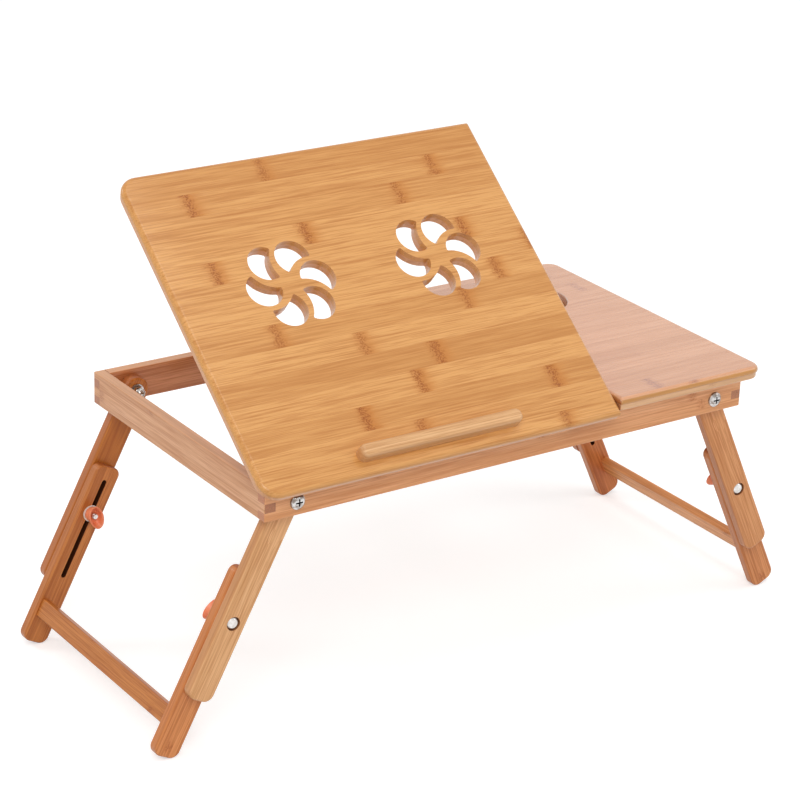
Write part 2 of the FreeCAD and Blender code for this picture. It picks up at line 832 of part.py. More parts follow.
def makeBatten(node, x, width):
    bar = block(
        (x, "loc.battenFront", "dim.battenBottom"),
        (width, "loc.battenRear - loc.battenFront", "dim.frameHeight - dim.battenBottom"),
        "battenBar",
    )
    tongue = battenTongues()[0 if node.startswith("left") else 1]
    batten = join([bar, tongue], "batten")
    keep(cut(batten, rackScrews(node.startswith("left")), "battenBored"), node, "table")


def rackScrews(isLeft):
    direction = "-x" if isLeft else "x"
    head = "loc.leftRackX + dim.rackWidth" if isLeft else "loc.seamRackX"
    places = []
    for end, other in (("dim.rackFront", "loc.battenRear"), ("loc.battenRear", "dim.rackFront")):
        y = f"{end} + dim.rackScrewShare * ({other} - {end})"
        spot = (head, y, "(dim.rackBottom + loc.rackTop) / 2")
        places.append(screw(direction, spot, "dim.rackScrewLength"))
    return places


def makeRack(node, x, isLeft):
    bar = block(
        (x, "dim.rackFront", "dim.rackBottom"),
        ("dim.rackWidth", "loc.battenRear - dim.rackFront", "loc.rackTop - dim.rackBottom"),
        "rackBar",
    )
    notches = []
    for number in range(int(dim.get("notchCount"))):
        y = f"loc.rodY + {number} * dim.notchPitch"
        notches.append(rod("x", (x, y, "loc.rackTop"), "dim.rackWidth", "dim.notchRadius", "notch"))
    keep(cut(bar, notches + rackScrews(isLeft), "rack"), node, "table")


def makeSupports():
    makeBatten("left_batten", "dim.leftBattenX", "dim.leftBattenWidth")
    makeBatten("seam_batten", "loc.seamBattenX", "dim.seamBattenWidth")
    makeRack("left_rack", "loc.leftRackX", True)
    makeRack("seam_rack", "loc.seamRackX", False)
    keep(group(rackScrews(True) + rackScrews(False)), "rack_screws", "table")


# prop: two arms on brackets under the panel, joined at the foot by a steel rod


def armPlaces():
    return (("left", "loc.leftArmX"), ("right", "loc.rightArmX"))


def bracketScrews():
    places = []
    for _, x in armPlaces():
        for share in (-0.5, 0.5):
            y = f"dim.propPivotDistance + {share} * (dim.bracketLength - 3 * dim.screwRadius - 3)"
            under = "dim.panelLift / 2 - dim.bracketThickness"
            places.append(screw("z", (f"{x} + dim.armWidth / 2", y, under), "dim.bracketScrewLength"))
    return places


def makeBracket(name, x):
    wall = "dim.bracketThickness"
    outer = f"{x} - dim.armClearance - {wall}"
    length = "dim.bracketLength"
    front = "dim.propPivotDistance - dim.bracketLength / 2"
    drop = "dim.propPivotDrop"
    parts = [
        block((outer, front, f"dim.panelLift / 2 - {wall}"),
              (f"dim.armWidth + 2 * dim.armClearance + 2 * {wall}", length, wall), "bracketPlate")
    ]
    for side in (outer, f"{x} + dim.armWidth + dim.armClearance"):
        ear = "dim.propPinRadius * 2.4"
        parts.append(
            block((side, f"dim.propPivotDistance - {ear}", f"-{drop}"),
                  (wall, f"2 * {ear}", f"{drop} + dim.panelLift / 2 - {wall} / 2"), "ear")
        )
        parts.append(rod("x", (side, "dim.propPivotDistance", f"-{drop}"), wall, ear, "earEnd"))
    pinHole = rod("x", (outer, "dim.propPivotDistance", f"-{drop}"),
                  f"dim.armWidth + 2 * dim.armClearance + 2 * {wall}", "dim.propPinRadius", "pinHole")
    screws = [
        screw("z", (f"{x} + dim.armWidth / 2",
                    f"dim.propPivotDistance + {share} * (dim.bracketLength - 3 * dim.screwRadius - 3)",
                    f"dim.panelLift / 2 - {wall}"), "dim.bracketScrewLength")
        for share in (-0.5, 0.5)
    ]
    keep(cut(join(parts, "bracket"), [pinHole] + screws, "bracketBored"), f"{name}_prop_bracket", "panel")


def makeArm(name, x):
    half = "dim.armHeight / 2"
    parts = [
        block((x, "0", f"-{half}"), ("dim.armWidth", "dim.propArmLength", "dim.armHeight"), "armBar"),
        rod("x", (x, "0", "0"), "dim.armWidth", half, "armEnd"),
        rod("x", (x, "dim.propArmLength", "0"), "dim.armWidth", half, "armEnd"),
    ]
    tools = [
        rod("x", (x, "0", "0"), "dim.armWidth", "dim.propPinRadius + dim.boreClearance", "pinHole"),
        rod("x", (x, "dim.propArmLength", "0"), "dim.armWidth", "dim.rodRadius", "rodHole"),
    ]
    keep(cut(join(parts, "arm"), tools, "armBored"), f"{name}_prop_arm", "prop")


def makeProp():
    pins = []
    for name, x in armPlaces():
        makeBracket(name, x)
        makeArm(name, x)
        start = f"{x} - dim.armClearance - dim.bracketThickness"
        length = "dim.armWidth + 2 * dim.armClearance + 2 * dim.bracketThickness"
        pins.append(rod("x", (start, "dim.propPivotDistance", "-dim.propPivotDrop"), length,
                        "dim.propPinRadius", "propPin"))
    keep(group(pins), "prop_pivot_pins", "panel")
    keep(group(bracketScrews()), "prop_bracket_screws", "panel")
    bar = rod("x", ("loc.leftRackX + dim.rodEndGap", "dim.propArmLength", "0"),
              "loc.seamBattenX - loc.leftRackX - 2 * dim.rodEndGap", "dim.rodRadius", "propRod")
    keep(group([bar]), "prop_rod", "prop")


# legs, in axes that run across the leg (x) and up it (z) from its pivot


def legPlace(isFront, layer):
    """Near face of the upper (0) or lower (1) leg's board, as the y of its front side."""
    depth = f"(dim.railThickness + {layer + 1} * dim.legGap + {layer} * dim.legThickness)"
    if isFront:
        return depth
    return f"(dim.frameDepth - {depth} - dim.legThickness)"


def legBoard(name, y, top, bottom, roundTop):
    body = startBody(name)
    sketch = startSketch(body, "XZ_Plane", "outline", ("0", "0", f"-{y}"))
    drawStrip(sketch, top, bottom, "dim.legWidth / 2", roundTop, False)
    pad(body, sketch, "dim.legThickness", backwards=True)
    document.recompute()
    box = body.Shape.BoundBox

    def cornerAt(level):
        return lambda edge: isStraightAlong(edge, (0, 1, 0)) and abs(edge.CenterOfMass.z - level) < 1e-4

    filletBody(body, "dim.legEndCorner", cornerAt(box.ZMin), "endCorners")
    if not roundTop:
        filletBody(body, "dim.lowerLegCorner", cornerAt(box.ZMax), "topCorners")
    return body


def roundLegEdges(body):
    low, high = body.Shape.BoundBox.YMin, body.Shape.BoundBox.YMax

    def onFace(edge):
        box = edge.BoundBox
        return box.YLength < 1e-4 and min(abs(box.YMin - low), abs(box.YMin - high)) < 1e-4

    filletBody(body, "dim.legEdgeRound", onFace, "edges")


def makeUpperLeg(node, frame, isFront):
    y = legPlace(isFront, 0)
    body = legBoard(node + "_body", y, "0", "-dim.upperLegReach", True)
    document.recompute()
    roundLegEdges(body)
    clear = "dim.boreClearance"
    outside = y if isFront else f"{y} + dim.legThickness"
    inward = "y" if isFront else "-y"
    tools = [
        rod("y", ("0", y, "0"), "dim.legThickness", f"dim.pivotBoltRadius + {clear}", "pivotHole"),
        rod("y", ("0", y, "-dim.clampDistance"), "dim.legThickness", "dim.clampBoltRadius", "clampHole"),
        rod(inward, ("0", outside, "-dim.clampDistance"), "dim.clampRecessDepth", "dim.clampRecessRadius",
            "clampRecess"),
    ]
    keep(cut(body, tools, "upperLeg"), node, frame)


def barCorner(side):
    """Left end in x of the crossbar's section: it lies toward the leg's outer edge."""
    return "-dim.barOuter" if side == "left" else "dim.barOuter - dim.barThickness"


def makeLowerLeg(node, frame, isFront, crossbar):
    y = legPlace(isFront, 1)
    body = legBoard(node + "_body", y, "-dim.lowerLegTop", "-dim.lowerLegReach", False)
    document.recompute()
    roundLegEdges(body)
    slot = startSketch(body, "XZ_Plane", "slot", ("0", "0", f"-{y}"))
    drawStrip(slot, "-dim.slotTop", "-dim.slotEnd", "dim.clampBoltRadius + dim.slotClearance")
    document.recompute()
    pocketThrough(body, slot, "slotCut")
    keep(cut(body, [crossbar], "lowerLeg"), node, frame)


def crossbarStock(side):
    """The bar between the lower legs: its ends reach into them, and it lies toward their outer edges."""
    start = f"({legPlace(True, 1)} + dim.legThickness - dim.barTenon)"
    bar = block(
        (barCorner(side), start, "-dim.barTop - dim.barHeight"),
        ("dim.barThickness", f"dim.frameDepth - 2 * {start}", "dim.barHeight"),
        "crossbar",
    )
    return roundEdges(bar, "barEdgeRound", lambda edge: isStraightAlong(edge, (0, 1, 0)), "crossbarRounded")


# fasteners of the legs


def revolve(name, profile, isFront, x="0", z="0", y="0"):
    """A turned piece on an axis along y: profile gives (distance inward from y, radius) pairs."""
    sign = "" if isFront else "-"
    body = startBody(name)
    sketch = startSketch(body, "XY_Plane", "profile", (x, "0", z))
    corners = [(radius, f"({y}) + {sign}({along})") for along, radius in profile]
    drawPolygon(sketch, corners)
    document.recompute()
    feature = body.newObject("PartDesign::Revolution", "turned")
    feature.Profile = sketch
    feature.ReferenceAxis = (sketch, ["V_Axis"])
    feature.Angle = 360
    body.Tip = feature
    return body


def pivotPlaces():
    for x in ("loc.leftPivotX", "dim.frameLength - loc.rightPivotX"):
        for isFront in (True, False):
            yield x, isFront


def outerFace(isFront, inset="0"):
    return inset if isFront else f"dim.frameDepth - ({inset})"


def makePivotBolt(x, isFront):
    """A domed head with a cross recess, and a shank into the acorn nut."""
    z = "dim.pivotHeight"
    radius = "dim.pivotHeadRadius"
    height = "dim.pivotHeadHeight"
    shank = "dim.pivotBoltRadius"
    inner = "dim.railThickness + 2 * dim.legGap + dim.legThickness + dim.washerThickness + dim.nutHeight"
    profile = [
        (f"-{height}", "0"),
        (f"-{height}", f"0.35 * {radius}"),
        (f"-0.78 * {height}", f"0.72 * {radius}"),
        (f"-0.42 * {height}", f"0.95 * {radius}"),
        ("0", radius),
        ("0", shank),
        (inner, shank),
        (inner, "0"),
    ]
    body = revolve("pivotBolt", profile, isFront, x, z, outerFace(isFront))
    tip = f"{outerFace(isFront)} - {height}" if isFront else f"{outerFace(isFront)} + {height} - dim.driveDepth"
    slots = []
    for long, wide in (("dim.driveLength", "dim.driveWidth"), ("dim.driveWidth", "dim.driveLength")):
        corner = (f"{x} - {long} / 2", tip, f"{z} - {wide} / 2")
        slots.append(block(corner, (long, "dim.driveDepth", wide), "drive"))
    return cut(body, slots, "boltHead")


def washer(centre, isFront, radius, hole):
    direction = "y" if isFront else "-y"
    disc = rod(direction, centre, "dim.washerThickness", radius, "washerDisc")
    return cut(disc, [rod(direction, centre, "dim.washerThickness", hole, "washerHole")], "washer")


def makePivotHardware():
    bolts, washers, nuts = [], [], []
    inside = "dim.railThickness + 2 * dim.legGap + dim.legThickness"
    for x, isFront in pivotPlaces():
        bolts.append(makePivotBolt(x, isFront))
        centre = (x, outerFace(isFront, inside), "dim.pivotHeight")
        washers.append(washer(centre, isFront, "dim.pivotWasherRadius", "dim.pivotBoltRadius"))
        nuts.append(makeAcornNut(x, isFront, f"{inside} + dim.washerThickness"))
    keep(group(bolts), "pivot_bolts", "table")
    keep(group(washers), "pivot_washers", "table")
    keep(group(nuts), "pivot_acorn_nuts", "table")


def makeAcornNut(x, isFront, inside):
    z = "dim.pivotHeight"
    direction = "y" if isFront else "-y"
    base = outerFace(isFront, inside)
    prism = document.addObject("Part::Prism", "nutHex")
    prism.Polygon = 6
    prism.Placement = FreeCAD.Placement(FreeCAD.Vector(), turns[direction])
    bind(prism, {"Circumradius": "dim.nutRadius", "Height": "dim.nutHeight"})
    putAt(prism, (x, base, z))
    ball = document.addObject("Part::Sphere", "nutDome")
    ball.Angle1 = 0
    ball.Placement = FreeCAD.Placement(FreeCAD.Vector(), turns[direction])
    bind(ball, {"Radius": "dim.nutDomeRadius"})
    putAt(ball, (x, outerFace(isFront, f"{inside} + dim.nutHeight"), z))
    bore = rod(direction, (x, base, z), "dim.nutHeight", "dim.pivotBoltRadius", "nutBore")
    return cut(join([prism, ball], "nutBlank"), [bore], "acornNut")


def makeClampHardware(frame):
    """Bolts whose heads lie in the upper legs' counterbores, and washers on the lower legs' inner faces."""
    bolts, washers = [], []
    seat = "dim.clampRecessDepth"
    tip = "loc.knobBase + dim.knobGap + dim.knobHeight - dim.boltTipDepth - dim.legGap"
    profile = [
        (f"{seat} - dim.clampHeadHeight", "0"),
        (f"{seat} - dim.clampHeadHeight", "0.8 * dim.clampHeadRadius"),
        (f"{seat} - 0.7 * dim.clampHeadHeight", "dim.clampHeadRadius"),
        (seat, "dim.clampHeadRadius"),
        (seat, "dim.clampBoltRadius"),
        (tip, "dim.clampBoltRadius"),
        (tip, "0"),
    ]
    washerBase = "dim.railThickness + 3 * dim.legGap + 2 * dim.legThickness"
    for isFront in (True, False):
        outerLegFace = outerFace(isFront, "dim.railThickness + dim.legGap")
        bolts.append(revolve("clampBolt", profile, isFront, "0", "-dim.clampDistance", outerLegFace))
        washers.append(
            washer(("0", outerFace(isFront, washerBase), "-dim.clampDistance"), isFront,
                   "dim.clampWasherRadius", "dim.clampBoltRadius")
        )
    keep(group(bolts), f"{frame}_clamp_bolts", frame)
    keep(group(washers), f"{frame}_clamp_washers", frame)


def ovalSolid(length, width, height, base, name):
    """An oval prism along z from the height base, its long axis along x."""
    outline = document.addObject("Part::Ellipse", name + "Outline")
    bind(outline, {"MajorRadius": f"({length}) / 2", "MinorRadius": f"({width}) / 2"})
    putAt(outline, ("0", "0", base))
    solid = document.addObject("Part::Extrusion", name)
    solid.Base = outline
    solid.Dir = FreeCAD.Vector(0, 0, 1)
    solid.Solid = True
    solid.setExpression("LengthFwd", height)
    return solid


# a knob's own axes in a leg's: its height points inward, and its long axis lies along the leg
knobFacings = {
    True: FreeCAD.Rotation(
        FreeCAD.Vector(0, 0, -1), FreeCAD.Vector(-1, 0, 0), FreeCAD.Vector(0, 1, 0), "ZXY"
    ),
    False: FreeCAD.Rotation(
        FreeCAD.Vector(0, 0, -1), FreeCAD.Vector(1, 0, 0), FreeCAD.Vector(0, -1, 0), "ZXY"
    ),
}


def makeKnob(node, frame, isFront, turn):
    """An oval thumb nut: a cup with the bolt's tip inside it, turned by some angle on the bolt."""
    blank = ovalSolid("dim.knobLength", "dim.knobWidth", "dim.knobHeight", "0", "knob")
    rounded = roundEdges(blank, "knobRound", lambda edge: edge.BoundBox.ZLength < 1e-4, "knobRounded")
    recess = ovalSolid(
        "dim.knobLength - 2 * dim.knobWall",
        "dim.knobWidth - 2 * dim.knobWall",
        "dim.knobRecess",
        "dim.knobHeight - dim.knobRecess",
        "recess",
    )
    bore = rod("z", ("0", "0", "0"), "dim.knobHeight", "dim.clampBoltRadius + dim.boreClearance", "bore")
    nut = group([cut(rounded, [recess, bore], "thumbNut")], "facing")
    nut.Placement = FreeCAD.Placement(FreeCAD.Vector(), knobFacings[isFront])
    base = outerFace(isFront, "dim.railThickness + loc.knobBase + dim.knobGap")
    putAt(nut, ("0", base, "0"))
    turned = group([nut], "turned")
    turned.Placement = FreeCAD.Placement(FreeCAD.Vector(), FreeCAD.Rotation(FreeCAD.Vector(0, 1, 0), 1))
    turned.setExpression("Placement.Rotation.Angle", turn)
    putAt(turned, ("0", "0", "-dim.clampDistance"))
    keep(group([turned], "knobPlaced"), node, frame)


def makeLegs():
    for side in ("left", "right"):
        crossbar = crossbarStock(side)
        for place, isFront in (("front", True), ("rear", False)):
            makeUpperLeg(f"{side}_{place}_upper_leg", side, isFront)
            makeLowerLeg(f"{side}_{place}_lower_leg", side + "Lower", isFront, crossbar)
            makeKnob(f"{side}_{place}_thumb_nut", side, isFront, f"dim.{side}{place.title()}KnobTurn")
        keep(group([crossbar]), f"{side}_crossbar", side + "Lower")
        makeClampHardware(side)


def checkAndExport():
    document.recompute()
    for thing in document.Objects:
        if {"Invalid", "Error"} & set(thing.State):
            raise RuntimeError(f"{thing.Name} ({thing.Label}) failed: {thing.State}")
    for piece in pieces:
        if piece.Shape.isNull() or not piece.Shape.isValid() or not piece.Shape.Solids:
            raise RuntimeError(f"{piece.Label} has no valid solid")
    os.makedirs("parts", exist_ok=True)
    for piece in pieces:
        piece.Shape.exportStep(f"parts/{piece.Label}.step")
        box = piece.Shape.BoundBox
        print(f"{piece.Label}: {len(piece.Shape.Solids)} solids, {box.XLength:.1f} x {box.YLength:.1f}"
              f" x {box.ZLength:.1f} mm, volume {piece.Shape.Volume:.0f}")
    print(len(pieces), "nodes")


makeLongRail("front_rail", "0", True)
makeLongRail("rear_rail", "dim.frameDepth - dim.railThickness", False)
makeEndRail("left_end_rail", "0", True)
makeEndRail("right_end_rail", "dim.frameLength - dim.railThickness", False)
makeTops()
makeBookStop()
makeHinges()
makeSupports()
makeProp()
makePivotHardware()
makeLegs()
checkAndExport()
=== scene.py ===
import json
import math

import bmesh
import bpy
import numpy as np
from mathutils import Matrix, Vector


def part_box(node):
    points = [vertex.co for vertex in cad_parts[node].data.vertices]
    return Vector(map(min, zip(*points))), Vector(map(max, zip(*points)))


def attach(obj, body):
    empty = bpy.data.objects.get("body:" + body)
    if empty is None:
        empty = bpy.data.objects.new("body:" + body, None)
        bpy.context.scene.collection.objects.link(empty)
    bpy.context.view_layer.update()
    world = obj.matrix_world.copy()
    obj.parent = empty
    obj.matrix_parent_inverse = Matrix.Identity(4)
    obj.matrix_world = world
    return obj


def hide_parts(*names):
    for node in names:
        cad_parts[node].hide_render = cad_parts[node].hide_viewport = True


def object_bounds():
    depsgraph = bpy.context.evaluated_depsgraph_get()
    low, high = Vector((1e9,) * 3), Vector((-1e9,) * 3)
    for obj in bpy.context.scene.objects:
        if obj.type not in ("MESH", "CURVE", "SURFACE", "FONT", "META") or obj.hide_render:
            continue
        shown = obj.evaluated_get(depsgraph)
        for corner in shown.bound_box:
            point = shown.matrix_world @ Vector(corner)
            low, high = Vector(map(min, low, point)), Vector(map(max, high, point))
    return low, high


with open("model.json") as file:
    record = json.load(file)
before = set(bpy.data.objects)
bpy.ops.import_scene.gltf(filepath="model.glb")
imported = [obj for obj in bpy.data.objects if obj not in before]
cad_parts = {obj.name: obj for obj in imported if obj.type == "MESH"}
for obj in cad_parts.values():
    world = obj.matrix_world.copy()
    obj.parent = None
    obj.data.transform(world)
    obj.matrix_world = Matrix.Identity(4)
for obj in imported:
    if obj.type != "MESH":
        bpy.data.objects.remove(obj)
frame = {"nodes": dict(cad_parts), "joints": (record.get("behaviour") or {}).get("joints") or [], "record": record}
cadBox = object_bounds()
nodes = frame["nodes"]
joints = {joint["name"]: joint for joint in frame["joints"]}
print("bed table:", len(nodes), "CAD pieces loaded")


# small helpers for node trees and meshes

def put(tree, kind, sockets=None, **settings):
    # adds a node, sets its properties, and fills or links its sockets
    node = tree.nodes.new(kind)
    for name, value in settings.items():
        setattr(node, name, value)
    for name, value in (sockets or {}).items():
        if isinstance(value, bpy.types.NodeSocket):
            tree.links.new(value, node.inputs[name])
        else:
            node.inputs[name].default_value = value
    return node


def calc(tree, operation, *values):
    return put(tree, "ShaderNodeMath", dict(enumerate(values)), operation=operation).outputs[0]


def vectorCalc(tree, operation, first, second, output=0):
    sockets = {0: first, 1: second}
    return put(tree, "ShaderNodeVectorMath", sockets, operation=operation).outputs[output]


def noise(tree, vector, fineness, detail=2.0):
    # cloudy pattern, finer along the axes with the larger numbers
    stretched = vectorCalc(tree, "MULTIPLY", vector, fineness)
    sockets = {"Vector": stretched, "Scale": 1.0, "Detail": detail}
    return put(tree, "ShaderNodeTexNoise", sockets).outputs[0]


def ease(tree, value, low, high, start=0.0, end=1.0):
    # goes smoothly from start to end while the value goes from low to high
    sockets = {"Value": value, "From Min": low, "From Max": high, "To Min": start, "To Max": end}
    return put(tree, "ShaderNodeMapRange", sockets, interpolation_type="SMOOTHSTEP").outputs[0]


def bellShape(tree, value, width):
    # 1 at nought, and fades away on both sides
    share = calc(tree, "DIVIDE", value, width)
    return calc(tree, "EXPONENT", calc(tree, "MULTIPLY", calc(tree, "MULTIPLY", share, share), -1.0))


def blend(tree, share, first, second, how="MIX"):
    sockets = {0: share, 6: first, 7: second}
    return put(tree, "ShaderNodeMix", sockets, data_type="RGBA", blend_type=how).outputs[2]


def paint(red, green, blue):
    # a colour as a paint program names it, 0 to 255
    parts = []
    for part in (red, green, blue):
        part /= 255
        parts.append(part / 12.92 if part <= 0.04045 else ((part + 0.055) / 1.055) ** 2.4)
    return (*parts, 1.0)


def tinted(colour, red, green, blue):
    return (*(min(part * share, 1.0) for part, share in zip(colour, (red, green, blue))), 1.0)


def newMaterial(name):
    material = bpy.data.materials.new(name)
    material.use_nodes = True
    tree = material.node_tree
    shader = tree.nodes["Principled BSDF"]
    return material, tree, shader


def dress(material, *names):
    # gives CAD pieces their material
    for name in names:
        mesh = nodes[name].data
        mesh.materials.clear()
        mesh.materials.append(material)


def addObject(name, data):
    holder = bpy.data.objects.new(name, data)
    bpy.context.collection.objects.link(holder)
    return holder


def cornersOf(points):
    low = Vector([min(point[axis] for point in points) for axis in range(3)])
    high = Vector([max(point[axis] for point in points) for axis in range(3)])
    return low, high


# camera

cameraSettings = {
    "place": (-1.2297, -1.7276, 1.0814),
    "heading": -34.962,
    "dip": -22.56,
    "roll": 2.219,
    "lens": 121.44,
    "nearest": 0.05,
    "furthest": 50,
}


def makeCamera(settings):
    camera = addObject("camera", bpy.data.cameras.new("camera"))
    camera.data.lens = settings["lens"]
    camera.data.clip_start = settings["nearest"]
    camera.data.clip_end = settings["furthest"]
    heading = Matrix.Rotation(math.radians(settings["heading"]), 4, "Z")
    dip = Matrix.Rotation(math.radians(90 + settings["dip"]), 4, "X")
    roll = Matrix.Rotation(math.radians(settings["roll"]), 4, "Z")
    camera.matrix_world = Matrix.Translation(settings["place"]) @ heading @ dip @ roll
    bpy.context.scene.camera = camera


makeCamera(cameraSettings)
bpy.context.scene.view_settings.view_transform = "Standard"
print("bed table: camera placed")


# studio: white room, soft lamps, pale floor

studioSettings = {
    "white": (1, 1, 1, 1),
    "roomLight": 0.60,
    "roomSeen": 1.0,
    "floorHalf": 9.0,
    "floorColour": (0.72, 0.72, 0.72, 1.0),
    "floorGlow": 0.50,
    "floorRoughness": 0.9,
    "floorGloss": 0.1,
    # name: place, aim, width, power
    "lamps": {
        "keyLamp": ((-1.3, -1.9, 2.2), (0.0, 0.0, 0.2), 1.5, 26.0),
        "backLamp": ((-1.5, 1.5, 1.5), (0.0, 0.0, 0.25), 0.7, 9.0),
        "fillLamp": ((2.0, -1.0, 1.6), (0.0, 0.0, 0.2), 1.4, 7.0),
        "sheenLamp": ((0.20, -0.32, 2.1), (-0.2, 0.0, 0.33), 0.9, 5.5),
    },
}


def makeRoom(settings):
    world = bpy.data.worlds.new("room")
    world.use_nodes = True
    tree = world.node_tree
    rays = put(tree, "ShaderNodeLightPath").outputs
    seen = calc(tree, "MAXIMUM", rays["Is Camera Ray"], rays["Is Glossy Ray"])
    seen = calc(tree, "MAXIMUM", seen, rays["Is Transmission Ray"])
    strength = put(tree, "ShaderNodeMapRange", {
        "Value": seen, "To Min": settings["roomLight"], "To Max": settings["roomSeen"],
    }).outputs[0]
    background = tree.nodes["Background"]
    background.inputs["Color"].default_value = settings["white"]
    tree.links.new(strength, background.inputs["Strength"])
    bpy.context.scene.world = world


def makeLamps(settings):
    for name, (place, aim, width, power) in settings["lamps"].items():
        lamp = bpy.data.lights.new(name, "AREA")
        lamp.shape = "DISK"
        lamp.size = width
        lamp.energy = power
        holder = addObject(name, lamp)
        holder.location = place
        holder.rotation_euler = (Vector(aim) - Vector(place)).to_track_quat("-Z", "Y").to_euler()


def makeFloor(settings):
    half = settings["floorHalf"]
    corners = [(-half, -half, 0), (half, -half, 0), (half, half, 0), (-half, half, 0)]
    mesh = bpy.data.meshes.new("floor")
    mesh.from_pydata(corners, [], [(0, 1, 2, 3)])
    material, tree, shader = newMaterial("floorPaper")
    shader.inputs["Base Color"].default_value = settings["floorColour"]
    shader.inputs["Roughness"].default_value = settings["floorRoughness"]
    shader.inputs["Specular IOR Level"].default_value = settings["floorGloss"]
    rays = put(tree, "ShaderNodeLightPath").outputs
    seen = calc(tree, "MAXIMUM", rays["Is Camera Ray"], rays["Is Glossy Ray"])
    glow = calc(tree, "MULTIPLY", seen, settings["floorGlow"])
    shader.inputs["Emission Color"].default_value = settings["white"]
    tree.links.new(glow, shader.inputs["Emission Strength"])
    mesh.materials.append(material)
    addObject("floor", mesh)


makeRoom(studioSettings)
makeLamps(studioSettings)
makeFloor(studioSettings)
print("bed table: studio ready")


# bamboo: strips, fibres, growth marks, glue seams and end grain

bambooBasics = {
    "tone": paint(215, 150, 90),   # the colour that the others are worked out from
    "along": (1.0, 0.0, 0.0),      # direction of the grain
    "across": (0.0, 1.0, 0.0),     # across the strips, in the widest face
    "centre": (0.0, 0.0, 0.0),     # the place that the pattern is counted from
    "stripWidth": 0.02167,
    "stripStart": 0.43,            # share of a strip that lies before the centre
    "layerHeight": 0.0055,
    "seed": 1.0,
    "contrast": 1.0,
    "stripShare": 0.42,            # how far the strips, streaks and fibres change the tone
    "streakShare": 0.7,
    "fibreShare": 0.55,
    "fibreTint": (0.72, 0.56, 0.40),
    "seamShare": 0.40,
    "markTint": (0.50, 0.28, 0.10),
    "haloTint": (0.84, 0.65, 0.38),
    "markSpacing": 0.21,
    "markShare": 0.55,             # how many of the growth marks show
    "markDepth": 0.6,
    "placedMarks": (),             # (along, across, strength) of growth marks with a known place
    "edgeToneAndLighting": (0.86, 0.72, 0.55),
    "edgeShare": 0.5,
    "endTint": (0.46, 0.33, 0.28),
    "endShare": 0.8,
    "shadeSide": None,             # direction of a face that gets painted shade
    "shadeTint": (0.60, 0.42, 0.36),
    "slot": None,                  # middle, half length and half width of a slot whose walls get painted shade
    "pit": None,                   # x, y and radius of a recess painted inside: painted shade in the legs' bolt recesses, a paler tan on the cup hole's wall
    # colour painted inside slots and recesses: this dark brown is painted shade
    "hollowColour": paint(74, 38, 20),
    "roughness": 0.36,
    "gloss": 0.4,
    "coat": 0.5,
    "coatRoughness": 0.10,
    "relief": 0.25,
}
grainSettings = {
    # how fine each pattern is along, across and through the strips, per metre
    "wander": (5, 30, 30),
    "streaks": (4, 130, 130),
    "fibres": (14, 500, 500),
    "fineLines": (30, 1100, 1100),
    "hairs": (60, 2400, 2400),
    "endDots": (1300, 1300, 1300),
    "wanderReach": 0.0014,
    "countFrom": 50,               # keeps the numbers of strips and layers positive
    "stripShift": 37.0,            # moves each strip's pattern far from its neighbour's
    "fibreWeight": 1.2,
    "paleChange": (0.12, 0.18, 0.28),
    "deepChange": (0.13, 0.20, 0.30),
    "seamWidth": 0.00030,
    "darkerEdge": 0.85,
    "palerDots": 1.35,
    "hairRelief": 0.35,
    "fibreRelief": 0.65,
    "seamRelief": -0.7,
    "reliefDepth": 0.0004,
}
markSettings = {
    "tears": (140, 420, 420),
    "dashes": (620, 800, 800),
    "raggedness": 0.013,
    "haloRaggedness": 0.008,
    "width": 0.0045,
    "unevenness": 9.7,
    "placedWidth": 0.0044,
    "haloWidth": 0.0080,
    "haloLean": 0.0030,
    "haloShare": 0.9,
}
hollowSettings = {
    "slotFade": 0.0004,
    "pitInside": 0.0002,
    "pitOutside": 0.0003,
    "pitShare": 0.9,
}


def grainTurn(along, across):
    # turns places so that the grain runs along x and the strips lie side by side in y
    along, across = Vector(along).normalized(), Vector(across).normalized()
    return Matrix((along, across, along.cross(across)))


